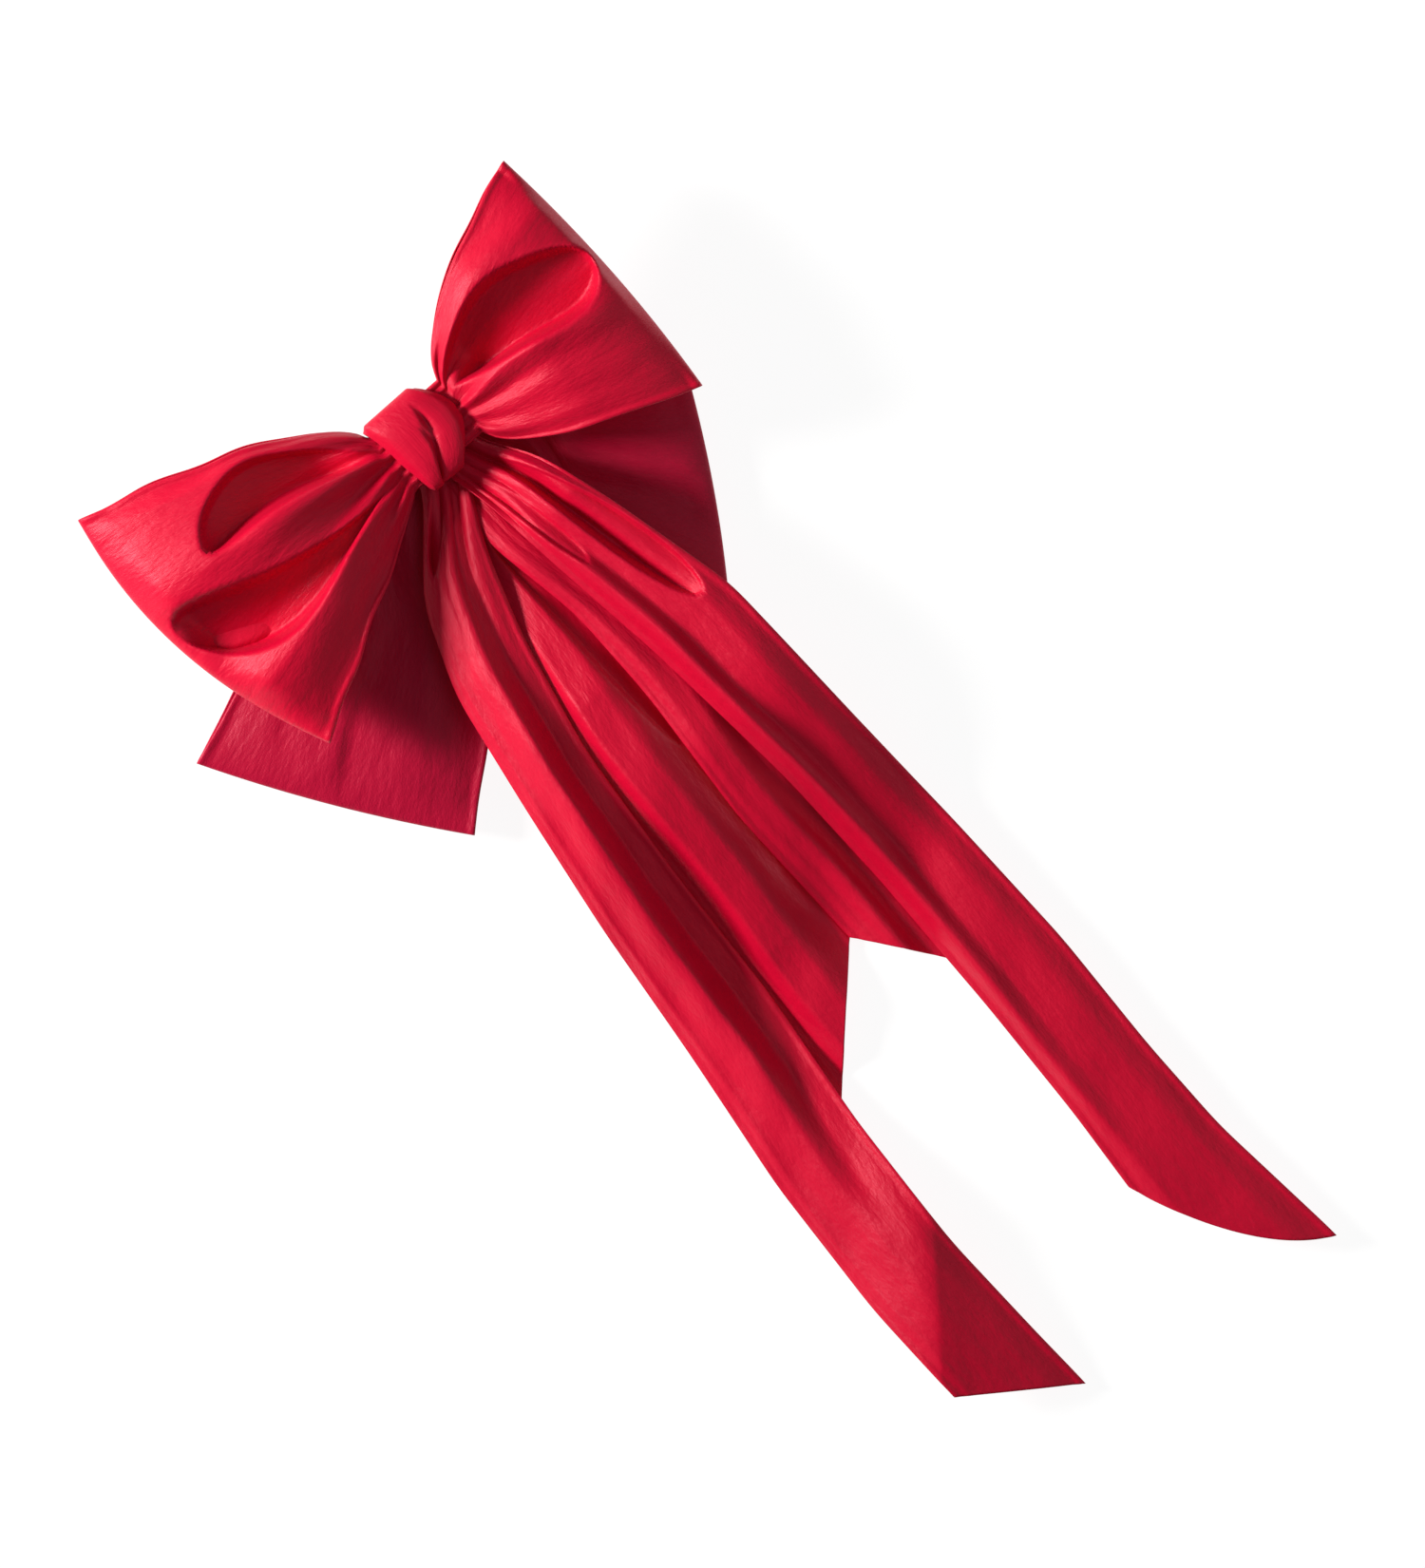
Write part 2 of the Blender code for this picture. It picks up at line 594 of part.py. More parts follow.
def build_knot(builder):
    """Band round the front tier's gathers."""
    side_room = 3.0 * MM
    middle = (KNOT_BOTTOM + KNOT_TOP) / 2
    loop = rounded_rectangle(ROOT_HALF_WIDTH + side_room + KNOT_CLOTH,
                             (KNOT_TOP - KNOT_BOTTOM) / 2, 28)
    mesh = bpy.data.meshes.new("knot_wrap")
    shape = bmesh.new()
    ring = [shape.verts.new((-KNOT_WIDTH / 2, across, middle + upward))
            for across, upward in loop]
    edges = [shape.edges.new((ring[index - 1], ring[index])) for index in range(len(ring))]
    added = bmesh.ops.extrude_edge_only(shape, edges=edges)["geom"]
    moved = [item for item in added if isinstance(item, bmesh.types.BMVert)]
    bmesh.ops.translate(shape, verts=moved, vec=(KNOT_WIDTH, 0, 0))
    bmesh.ops.recalc_face_normals(shape, faces=shape.faces)
    shape.to_mesh(mesh)
    shape.free()
    knot = builder.add_mesh("knot_wrap", mesh, builder.satin)
    builder.thicken(knot, KNOT_CLOTH, -1.0)


def tail_height(radius, layer):
    """Underside of a tail; it depends only on the distance to the knot, so tails can sway."""
    drop = smooth_step((radius - TAIL_DROP_START) / (TAIL_DROP_END - TAIL_DROP_START))
    return (TAIL_BOTTOM - REST_GAP) * (1 - drop) + REST_GAP + layer * LAYER_STEP


def build_tail(builder, name, spec):
    """Ribbon from the stack under the knot down to its slanted end."""
    stations = np.array(spec["stations"], dtype=float) * MM
    downs = -stations[:, 0]
    left_end, right_end = (-end * MM for end in spec["ends"])
    start = downs[0]

    def place(u, v):
        down = start + v * ((left_end - start) * (1 - u) + (right_end - start) * u)
        left = np.interp(down, downs, stations[:, 1])
        right = np.interp(down, downs, stations[:, 2])
        x = left + (right - left) * u
        radius = math.hypot(x, down)
        return Vector((x, -down, tail_height(radius, spec["layer"])))

    return builder.swept_strip(name, 4, 34, place, builder.satin, CLOTH, 1.0)


def build_tails(builder):
    """Four tails, each with its needle hole."""
    for name, spec in TAILS.items():
        tail = build_tail(builder, name, spec)
        cut_shank_hole(builder, tail)


def shade_parts(builder):
    """Smooth the round pieces but keep their real edges."""
    for part in builder.parts.objects:
        part.data.shade_smooth()
        part.data.set_sharp_from_angle(angle=math.radians(35))


def main():
    """Build every piece of the bow."""
    clear_scene()
    builder = Builder()
    build_clasp_arm(builder)
    build_hinge_pin(builder)
    build_base_plate(builder)
    build_tension_strip(builder)
    build_catch_prongs(builder)
    build_felt(builder)
    build_clip_stitches(builder)
    build_stitch_shank(builder)
    build_rear_tier(builder)
    build_tails(builder)
    build_front_tier(builder)
    build_knot(builder)
    shade_parts(builder)


main()
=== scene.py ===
"""Looks of the two-tier satin hair bow: pleated cloth, gathered knot, thread, felt and clip.

Every surface is a grid of points worked out with numpy in metres, in the frame of the design:
+X runs from the left loops to the right loops, the tails run along -Y and +Z points out of
the bow's face. The bow lies on a table at z = 0.
"""

import logging
import math
from dataclasses import dataclass, field
from enum import Enum
from typing import Sequence

import bpy
import numpy as np
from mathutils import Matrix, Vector


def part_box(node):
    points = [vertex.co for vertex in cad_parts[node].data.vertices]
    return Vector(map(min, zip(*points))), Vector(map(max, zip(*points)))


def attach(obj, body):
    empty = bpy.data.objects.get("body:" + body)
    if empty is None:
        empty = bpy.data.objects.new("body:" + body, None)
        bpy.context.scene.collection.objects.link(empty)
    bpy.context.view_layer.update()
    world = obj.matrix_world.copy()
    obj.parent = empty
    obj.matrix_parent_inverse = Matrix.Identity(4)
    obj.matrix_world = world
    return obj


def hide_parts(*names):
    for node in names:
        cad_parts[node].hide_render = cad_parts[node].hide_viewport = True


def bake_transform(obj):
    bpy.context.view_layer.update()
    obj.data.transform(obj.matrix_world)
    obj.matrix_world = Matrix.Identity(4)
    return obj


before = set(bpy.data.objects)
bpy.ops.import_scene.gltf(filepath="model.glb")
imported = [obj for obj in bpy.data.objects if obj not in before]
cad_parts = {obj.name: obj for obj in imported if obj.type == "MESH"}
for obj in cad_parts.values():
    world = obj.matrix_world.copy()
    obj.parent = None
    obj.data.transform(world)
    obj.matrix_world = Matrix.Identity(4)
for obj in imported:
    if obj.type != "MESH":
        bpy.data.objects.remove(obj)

MM = 0.001
TAU = 2.0 * math.pi
LOG = logging.getLogger("hair_bow")
Array = np.ndarray
Colour = tuple[float, float, float]

HEM_RISE = 0.6 * MM             # bead of a rolled hem
HEM_INSET = 0.9 * MM            # from the cloth's edge to the bead's top
HEM_WIDTH = 1.1 * MM
EVEN_SHARE = 0.45               # of a grid's steps; the others crowd at both its ends
SEAM_GAP = 0.02 * MM            # points nearer than this become one
TINY = 1e-4                     # keeps a width above zero
FOLD_CROWDING = 1.5             # power that draws a loop's rows towards its outer fold
SWING_RUN = 0.45                # share of a loop over which it swings to its direction
# How often a loop's gathers repeat across it, how far out they last, and their share of height.
LOOP_GATHERS = ((5.6, 0.16, 1.0), (3.9, 0.30, 0.7), (2.4, 0.45, 0.4))
KNOT_EDGE = 12.0 * MM           # how far down the tails come out of the knot
FOLD_RUN = 22.0 * MM            # over which the tails' folds come up below it
LAYER_STEP = 1.5 * MM           # from one tail to the next
SETTLED = 0.6                   # share by which the layers close up on the table
EDGE_WINDOW = 11.0 * MM         # half the length over which a tail's corners are rounded
EDGE_READS = 9


# --- Shader graphs --------------------------------------------------------------------------------


class Value:
    """A number in a shader graph; arithmetic on it adds Math nodes."""

    def __init__(self, graph: "Graph", socket: bpy.types.NodeSocket) -> None:
        """Wrap a socket of the graph."""
        self.graph = graph
        self.socket = socket

    def _math(self, operation: str, *others: "Value | float") -> "Value":
        """Add a Math node on this value and the others."""
        return self.graph.math(operation, self, *others)

    def __add__(self, other: "Value | float") -> "Value":
        """Sum."""
        return self._math("ADD", other)

    __radd__ = __add__

    def __sub__(self, other: "Value | float") -> "Value":
        """Difference."""
        return self._math("SUBTRACT", other)

    def __mul__(self, other: "Value | float") -> "Value":
        """Product."""
        return self._math("MULTIPLY", other)

    def sine(self) -> "Value":
        """Sine of this value in radians."""
        return self._math("SINE")

    def clamped(self) -> "Value":
        """This value held between 0 and 1."""
        return self._math("MINIMUM", 1.0)._math("MAXIMUM", 0.0)


class Graph:
    """The node tree of one material."""

    def __init__(self, name: str) -> None:
        """Start a material that holds a Principled shader."""
        self.material = bpy.data.materials.new(name)
        self.material.use_nodes = True
        self.tree = self.material.node_tree
        self.shader = self.tree.nodes["Principled BSDF"]

    def node(self, kind: str, settings: dict | None = None, inputs: dict | None = None,
             output: int | str = 0) -> Value:
        """Add a node.

        Args:
            kind: The node's type name.
            settings: Properties set before the sockets are used.
            inputs: Values or numbers for its sockets, by name or index.
            output: The socket that is returned.

        Returns:
            The chosen output.
        """
        added = self.tree.nodes.new(kind)
        for key, value in (settings or {}).items():
            setattr(added, key, value)
        for key, value in (inputs or {}).items():
            self.feed(added.inputs[key], value)
        return Value(self, added.outputs[output])

    def feed(self, socket: bpy.types.NodeSocket, value: "Value | float | Sequence") -> None:
        """Link a value to a socket, or store a constant on it."""
        if isinstance(value, Value):
            self.tree.links.new(value.socket, socket)
        else:
            socket.default_value = value

    def math(self, operation: str, *values: "Value | float") -> Value:
        """Add one Math node."""
        return self.node("ShaderNodeMath", {"operation": operation}, dict(enumerate(values)))

    def noise(self, where: Value, scale: float, detail: float = 2.0,
              roughness: float = 0.5) -> Value:
        """Smooth noise between 0 and 1."""
        return self.node("ShaderNodeTexNoise", None,
                         {"Vector": where, "Scale": scale, "Detail": detail,
                          "Roughness": roughness})

    def mapped(self, where: Value, scale: Sequence[float]) -> Value:
        """Coordinates stretched along their axes."""
        return self.node("ShaderNodeMapping", None, {"Vector": where, "Scale": scale})

    def mix(self, factor: "Value | float", low: "Value | Sequence",
            high: "Value | Sequence") -> Value:
        """Blend of two colours."""
        return self.node("ShaderNodeMix", {"data_type": "RGBA"},
                         {0: factor, 6: low, 7: high}, 2)

    def bump(self, height: Value, distance: float, strength: float = 1.0) -> Value:
        """Normal tilted by a height of about 0 to 1, for which the distance is in metres."""
        return self.node("ShaderNodeBump", None,
                         {"Strength": strength, "Distance": distance, "Height": height})

    def surface(self, **inputs: "Value | float | Sequence") -> bpy.types.Material:
        """Feed the Principled shader, with spaces in names as underscores."""
        for key, value in inputs.items():
            self.feed(self.shader.inputs[key.replace("_", " ")], value)
        return self.material


def rgba(colour: Colour) -> tuple[float, float, float, float]:
    """Colour with full opacity."""
    return (*colour, 1.0)


@dataclass(frozen=True)
class Satin:
    """Woven satin: fine threads along the strip, faint slubs and a soft sheen."""

    name: str
    face: Colour
    shade: Colour
    roughness: float = 0.40
    sheen: float = 0.05
    thread: float = 0.32 * MM

    def make(self) -> bpy.types.Material:
        """Colour, gloss and weave from the cloth's own map, whose unit is one metre.

        Returns:
            The finished material.
        """
        graph = Graph(self.name)
        cloth = graph.node("ShaderNodeUVMap", {"uv_map": "cloth"})
        axes = graph.node("ShaderNodeSeparateXYZ", None, {0: cloth})
        across = graph.node("ShaderNodeSeparateXYZ", None, {0: cloth}, 1)
        warp = (axes * (TAU / self.thread)).sine()
        weft = (across * (TAU / self.thread * 0.72)).sine()
        slubs = graph.noise(graph.mapped(cloth, (55.0, 900.0, 1.0)), 1.0, 3.0, 0.6)
        cross_slubs = graph.noise(graph.mapped(cloth, (1100.0, 70.0, 1.0)), 1.0, 2.0, 0.6)
        cloud = graph.noise(cloth, 38.0, 3.0, 0.55)
        grain = graph.noise(cloth, 1600.0, 2.0, 0.6)
        tone = (cloud * 0.75 + slubs * 0.30 + grain * 0.45 - 0.30).clamped()
        weave = warp * 0.25 + weft * 0.2 + slubs * 0.7 + cross_slubs * 0.45 + grain * 0.5
        crush = graph.noise(graph.mapped(cloth, (60.0, 130.0, 1.0)), 1.0, 4.0, 0.62)
        soft = graph.bump(crush, 1.4 * MM, 0.6)
        fine = graph.node("ShaderNodeBump", None,
                          {"Strength": 0.55, "Distance": 0.07 * MM, "Height": weave,
                           "Normal": soft})
        return graph.surface(
            Base_Color=graph.mix(tone, rgba(self.shade), rgba(self.face)),
            Roughness=(self.roughness + slubs * 0.10 + cloud * 0.06 - 0.06),
            Normal=fine, Sheen_Weight=self.sheen, Sheen_Roughness=0.35,
            Sheen_Tint=(1.0, 0.16, 0.26, 1.0), Specular_IOR_Level=0.40,
            Specular_Tint=(1.0, 0.46, 0.54, 1.0))


@dataclass(frozen=True)
class Felt:
    """Pressed felt: matted fibres, no gloss."""

    name: str
    face: Colour
    shade: Colour

    def make(self) -> bpy.types.Material:
        """Fibres as two layers of stretched noise.

        Returns:
            The finished material.
        """
        graph = Graph(self.name)
        place = graph.node("ShaderNodeTexCoord", None, None, "Object")
        fibres = graph.noise(graph.mapped(place, (2600.0, 900.0, 1800.0)), 1.0, 4.0, 0.7)
        tufts = graph.noise(place, 420.0, 3.0, 0.6)
        height = fibres * 0.7 + tufts
        return graph.surface(
            Base_Color=graph.mix((fibres * 1.4 - 0.2).clamped(), rgba(self.shade),
                                 rgba(self.face)),
            Roughness=0.96, Normal=graph.bump(height, 0.35 * MM, 0.9), Sheen_Weight=0.5)


@dataclass(frozen=True)
class Thread:
    """Twisted polyester thread."""

    name: str
    face: Colour
    shade: Colour
    pitch: float = 0.6 * MM

    def make(self) -> bpy.types.Material:
        """Plies as slanted bands through the piece.

        Returns:
            The finished material.
        """
        graph = Graph(self.name)
        place = graph.node("ShaderNodeTexCoord", None, None, "Object")
        x = graph.node("ShaderNodeSeparateXYZ", None, {0: place}, 0)
        y = graph.node("ShaderNodeSeparateXYZ", None, {0: place}, 1)
        z = graph.node("ShaderNodeSeparateXYZ", None, {0: place}, 2)
        plies = ((x * 0.8 + y * 0.6 + z) * (TAU / self.pitch)).sine() * 0.5 + 0.5
        fuzz = graph.noise(place, 3200.0, 3.0, 0.6)
        return graph.surface(
            Base_Color=graph.mix((plies * 0.7 + fuzz * 0.4).clamped(), rgba(self.shade),
                                 rgba(self.face)),
            Roughness=fuzz * 0.2 + 0.45, Normal=graph.bump(plies + fuzz * 0.4, 0.12 * MM, 0.9),
            Sheen_Weight=0.3)


@dataclass(frozen=True)
class PlatedSteel:
    """Nickel-plated sheet with fine rolling lines and rubbed spots."""

    name: str
    face: Colour
    dull: Colour
    roughness: float = 0.24

    def make(self) -> bpy.types.Material:
        """Rolling lines along X, clouded plating and small pits.

        Returns:
            The finished material.
        """
        graph = Graph(self.name)
        place = graph.node("ShaderNodeTexCoord", None, None, "Object")
        lines = graph.noise(graph.mapped(place, (40.0, 4200.0, 4200.0)), 1.0, 3.0, 0.7)
        cloud = graph.noise(place, 140.0, 4.0, 0.6)
        pits = graph.noise(place, 2400.0, 2.0, 0.5)
        rubbed = (cloud * 2.2 - 0.75).clamped()
        return graph.surface(
            Base_Color=graph.mix(rubbed, rgba(self.dull), rgba(self.face)),
            Metallic=1.0, Roughness=lines * 0.16 + rubbed * 0.08 + (self.roughness - 0.1),
            Normal=graph.bump(lines * 0.6 + pits * 0.4, 0.03 * MM, 0.7))


class Finish(Enum):
    """The object's finishes, by the design's slot names."""

    RED_SATIN = "red_satin"
    # deep_red_satin is red_satin darkened as painted shade, for the rear ring.
    PAINTED_SHADE_RED_SATIN = "deep_red_satin"
    RED_FELT = "red_felt"
    RED_THREAD = "red_thread"
    BRIGHT_STEEL = "bright_steel"
    SPRING_STEEL = "spring_steel"


FINISHES = {
    Finish.RED_SATIN: Satin("red_satin", (0.680, 0.0020, 0.0310), (0.500, 0.0008, 0.0240)),
    # A darker, bluer copy of red_satin: painted shade for the rear ring, which lies in the shadow
    # of the front loops.
    Finish.PAINTED_SHADE_RED_SATIN: Satin("deep_red_satin", (0.480, 0.0014, 0.0330),
                                 (0.350, 0.0007, 0.0250), roughness=0.45),
    Finish.RED_FELT: Felt("red_felt", (0.34, 0.006, 0.016), (0.16, 0.002, 0.008)),
    Finish.RED_THREAD: Thread("red_thread", (0.55, 0.010, 0.030), (0.26, 0.003, 0.012)),
    Finish.BRIGHT_STEEL: PlatedSteel("bright_steel", (0.80, 0.79, 0.77), (0.62, 0.61, 0.60)),
    Finish.SPRING_STEEL: PlatedSteel("spring_steel", (0.66, 0.66, 0.67), (0.50, 0.50, 0.52),
                                     roughness=0.32),
}


class Wardrobe:
    """Makes each finish once and hands it out."""

    def __init__(self) -> None:
        """Start with no material made."""
        self._made: dict[Finish, bpy.types.Material] = {}

    def get(self, finish: Finish) -> bpy.types.Material:
        """Return the material of a finish, made at first use."""
        if finish not in self._made:
            self._made[finish] = FINISHES[finish].make()
        return self._made[finish]

    def dress(self, piece: bpy.types.Object, finish: Finish) -> None:
        """Give a piece its material."""
        piece.data.materials.clear()
        piece.data.materials.append(self.get(finish))


# --- Surface maths --------------------------------------------------------------------------------


def smooth(value: Array | float) -> Array:
    """Ease from 0 to 1 with level ends: 3t^2 - 2t^3 of the value held between 0 and 1."""
    held = np.clip(value, 0.0, 1.0)
    return held * held * (3.0 - 2.0 * held)


def folded(where: Array, knots: Sequence, heights: Sequence, crisp: float) -> Array:
    """Height of a folded cross-section.

    Between neighbouring knots the height eases from one to the next; the crisp share of
    each step is straight, so that the knots become creases.

    Args:
        where: Positions across the cloth.
        knots: Rising positions of ridges and valleys, numbers or arrays.
        heights: Their heights, numbers or arrays.
        crisp: 0 for round folds to 1 for sharp ones.

    Returns:
        The heights at the positions.
    """
    total = heights[0] + np.zeros_like(where)
    for low, high, start, end in zip(knots, knots[1:], heights, heights[1:]):
        part = np.clip((where - low) / (high - low), 0.0, 1.0)
        total = total + (end - start) * ((1.0 - crisp) * smooth(part) + crisp * part)
    return total


def hem(inset: Array) -> Array:
    """Bead of a rolled hem: a bell that stands just inside the edge."""
    return HEM_RISE * np.exp(-((inset - HEM_INSET) / HEM_WIDTH) ** 2)


def crowded(low: float, high: float, count: int) -> Array:
    """Steps from low to high that stand closer together at both ends."""
    even = np.linspace(0.0, 1.0, count)
    eased = 0.5 * (1.0 - np.cos(math.pi * even))
    return low + (high - low) * (EVEN_SHARE * even + (1.0 - EVEN_SHARE) * eased)


def strip_mesh(name: str, points: Array, cloth: Array) -> bpy.types.Object:
    """Mesh of a grid of points with the cloth's own map.

    Args:
        name: The piece's name.
        points: Grid of places, shape (rows, columns, 3).
        cloth: Place of each point on the flat cloth in metres, shape (rows, columns, 2).

    Returns:
        The linked object, shaded smooth.
    """
    rows, columns = points.shape[:2]
    index = np.arange(rows * columns).reshape(rows, columns)
    quads = np.stack((index[:-1, :-1], index[:-1, 1:], index[1:, 1:], index[1:, :-1]), axis=-1)
    quads = quads.reshape(-1, 4)
    mesh = bpy.data.meshes.new(name)
    mesh.vertices.add(rows * columns)
    mesh.vertices.foreach_set("co", points.reshape(-1).astype(np.float32))
    mesh.loops.add(quads.size)
    mesh.loops.foreach_set("vertex_index", quads.reshape(-1).astype(np.int32))
    mesh.polygons.add(len(quads))
    mesh.polygons.foreach_set("loop_start", (np.arange(len(quads)) * 4).astype(np.int32))
    mesh.update(calc_edges=True)
    layer = mesh.uv_layers.new(name="cloth")
    flat = cloth.reshape(-1, 2)[quads.reshape(-1)]
    layer.data.foreach_set("uv", flat.reshape(-1).astype(np.float32))
    mesh.polygons.foreach_set("use_smooth", np.ones(len(quads), dtype=bool))
    mesh.validate()
    piece = bpy.data.objects.new(name, mesh)
    bpy.context.scene.collection.objects.link(piece)
    return piece


def thicken(piece: bpy.types.Object, thickness: float) -> None:
    """Give a cloth surface its thickness, half to each side."""
    solid = piece.modifiers.new("thickness", "SOLIDIFY")
    solid.thickness = thickness
    solid.offset = 0.0
    solid.use_rim = True


def join(pieces: Sequence[bpy.types.Object]) -> bpy.types.Object:
    """Join meshes into the first one and close the seam between them."""
    with bpy.context.temp_override(active_object=pieces[0], object=pieces[0],
                                   selected_editable_objects=list(pieces)):
        bpy.ops.object.join()
    weld = pieces[0].modifiers.new("seam", "WELD")
    weld.merge_threshold = SEAM_GAP
    return pieces[0]


def ripple(where: Array, seed: int, count: int, low: float, high: float) -> Array:
    """Uneven waves: a sum of sines of chosen frequencies and phases, between -1 and 1."""
    chooser = np.random.default_rng(seed)
    rates = chooser.uniform(low, high, count)
    phases = chooser.uniform(0.0, TAU, count)
    shares = chooser.uniform(0.5, 1.0, count)
    total = sum(share * np.sin(TAU * rate * where + phase)
                for rate, phase, share in zip(rates, phases, shares))
    return total / shares.sum()


# --- Bow loops ------------------------------------------------------------------------------------


@dataclass(frozen=True)
class Hollow:
    """Teardrop dent in the cloth, between a rolled ridge and a crease above it.

    Attributes:
        start, end: Where it begins and ends along the cloth.
        middle: Its middle across the cloth at the start, half way and at the end.
        width: Its greatest width across the cloth.
        depth: How deep it is, in metres.
        swell: Power by which it widens; a small one is blunt near the knot.
        lip: Share of the depth that drops steeply at the crease.
        floor: Share of the width from the ridge to the deepest line.
        crease: Share of the width that the steep drop takes.
        closing: Power by which it narrows again.
        evenness: Power that keeps its narrow parts deep.
    """

    start: float
    end: float
    middle: tuple[float, float, float]
    width: float
    depth: float
    swell: float
    lip: float = 0.50
    floor: float = 0.26
    crease: float = 0.10
    closing: float = 0.5
    evenness: float = 0.8

    def height(self, free: Array, across: Array) -> Array:
        """Depth below the face, as a negative height.

        The middle line is a parabola through three places across the cloth. The width
        about it grows and closes by powers of the distance. Across it,
        the face drops steeply past the crease by the lip's share of the depth, slopes to
        the floor line and climbs in a short ease to the ridge.
        """
        part = np.clip((free - self.start) / (self.end - self.start), 0.0, 1.0)
        fullest = self.swell / (self.swell + self.closing)
        closed = ((1.0 - part) / (1.0 - fullest)) ** self.closing
        tear = (part / fullest) ** self.swell * closed
        first, half_way, last = self.middle
        middle = (first * (1.0 - part) * (1.0 - 2.0 * part)
                  + half_way * 4.0 * part * (1.0 - part) + last * part * (2.0 * part - 1.0))
        share = 0.5 + (across - middle) / (self.width * tear + TINY)
        near = smooth(share / self.floor)
        far = np.clip((1.0 - share) / (1.0 - self.floor), 0.0, 1.0)
        drop = smooth((1.0 - share) / self.crease)
        shape = np.where(share < self.floor, near, self.lip * drop + (1.0 - self.lip) * far)
        return -self.depth * np.minimum(tear, 1.0) ** self.evenness * shape


@dataclass(frozen=True)
class LoopCut:
    """Outline and folds of one loop; positions across run from -1, by the tails, to 1.

    Attributes:
        side: -1 for the left loop, 1 for the right one.
        reach, bulge: Length from the knot to the outer fold, and what its middle adds.
        upper, lower: Half widths at the outer fold, with the powers by which they open.
        slant, swing: Turn of the outer fold, and turn of the whole loop to the tails.
        folds_at_knot, folds_at_edge: Ridges and valleys across the cloth.
        heights_at_knot, heights_at_edge: Their heights in metres.
        fold_end: Share of the loop from which the folds fade to the outer fold.
        crisp: 0 for round folds to 1 for sharp ones.
    """

    side: int
    reach: float
    bulge: float
    upper: float
    lower: float
    upper_power: float
    lower_power: float
    slant: float
    swing: float
    folds_at_knot: tuple[float, ...]
    folds_at_edge: tuple[float, ...]
    heights_at_knot: tuple[float, ...]
    heights_at_edge: tuple[float, ...]
    hollows: tuple[Hollow, ...]
    seed: int
    fold_end: float = 0.88
    crisp: float = 0.35


@dataclass
class BowTier:
    """One ring of satin, pinched by the knot into two loops."""

    name: str
    node: str
    finish: Finish
    loops: tuple[LoopCut, LoopCut]
    root_half_width: float
    root_middle: float
    root_half_height: float
    edge_middle: float
    puff: float
    gather: float
    flat: tuple[float, float]
    flat_area: float
    back_shift: float = 1.8 * MM
    root_shift: float = 0.0
    pinch: float = 15.0 * MM
    cloth: float = 0.45 * MM
    along: int = 102
    across: int = 108

    def build(self, wardrobe: Wardrobe) -> bpy.types.Object:
        """Args:
            wardrobe: Where the finish comes from.

        Returns:
            The finished piece.
        """
        piece = join([self._loop(cut) for cut in self.loops])
        piece.name = piece.data.name = self.name
        thicken(piece, self.cloth)
        wardrobe.dress(piece, self.finish)
        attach(piece, "bow")
        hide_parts(self.node)
        LOG.info("%s: ring of two loops", self.name)
        return piece

    def _loop(self, cut: LoopCut) -> bpy.types.Object:
        """One loop: its face out to the fold, then its back to the knot.

        The first parameter runs 0 to 1 over the face and 1 to 2 over the back, closer
        together at the fold; the second runs -1 to 1 across the cloth.
        """
        steps = np.linspace(0.0, 1.0, self.along)
        out = 1.0 - (1.0 - steps) ** FOLD_CROWDING
        travel = np.concatenate((out, 2.0 - out[::-1][1:]))[:, None]
        across = crowded(-1.0, 1.0, self.across)[None, :]
        part = np.where(travel > 1.0, 2.0 - travel, travel)
        face = np.where(travel > 1.0, -1.0, 1.0)
        x, y, free = self._plan(cut, part, across, face)
        edge = (1.0 - np.abs(across)) * np.where(across > 0.0, cut.upper, cut.lower)
        z = (self._middle(free) + self._half(free, across, face)
             + self._folds(cut, free, across, face) + face * hem(edge) * smooth(free * 4.0))
        points = np.stack(np.broadcast_arrays(x, y, z), axis=-1)
        cloth = np.stack(np.broadcast_arrays(travel * cut.reach * cut.side,
                                             across * max(cut.upper, cut.lower)), axis=-1)
        if cut.side < 0:
            points, cloth = points[:, ::-1], cloth[:, ::-1]
        return strip_mesh(f"{self.name}_{'left' if cut.side < 0 else 'right'}", points, cloth)

    def _plan(self, cut: LoopCut, part: Array, across: Array,
              face: Array) -> tuple[Array, Array, Array]:
        """Outline seen from above: the cloth fans out by a power of the distance.

        The back layer lies a little further up than the face, so that it shows past it.

        Returns:
            x, y and the share of the free loop from knot (0) to outer fold (1).
        """
        reach = cut.reach + cut.bulge * (1.0 - across ** 2)
        distance = part * reach
        free = np.clip((distance - self.pinch) / (reach - self.pinch), 0.0, 1.0)
        upper = self.root_half_width + (cut.upper - self.root_half_width) * (
            free ** cut.upper_power)
        lower = self.root_half_width + (cut.lower - self.root_half_width) * (
            free ** cut.lower_power)
        y = across * np.where(across > 0.0, upper, lower)
        y = y + np.where(face < 0.0, self.back_shift, 0.0) * 4.0 * free * (1.0 - free)
        y = y + self.root_shift * (1.0 - free)
        y = y + 0.7 * MM * ripple(free + 0.4 * across, cut.seed, 3, 1.5, 4.0) * smooth(
            np.abs(across) * 3.0 - 2.0) * smooth(free * 3.0)
        x = cut.side * (distance - y * math.tan(cut.slant) * free)
        angle = -cut.side * cut.swing * smooth(free / SWING_RUN)
        return (x * np.cos(angle) - y * np.sin(angle),
                x * np.sin(angle) + y * np.cos(angle), free)

    def _middle(self, free: Array) -> Array:
        """Height half way between face and back."""
        return self.root_middle + (self.edge_middle - self.root_middle) * smooth(free / 0.5)

    def _half(self, free: Array, across: Array, face: Array) -> Array:
        """Half the loop's height: pinched root, full belly, closed at the outer fold."""
        belly = free ** 0.8 * (1.0 - free) ** 0.55 / 0.43
        root = self.root_half_height * np.sqrt(np.clip(1.0 - free, 0.0, 1.0))
        crown = 1.0 - 0.28 * across ** 2
        return face * (root * (1.0 - 0.3 * across ** 2) + self.puff * belly * crown)

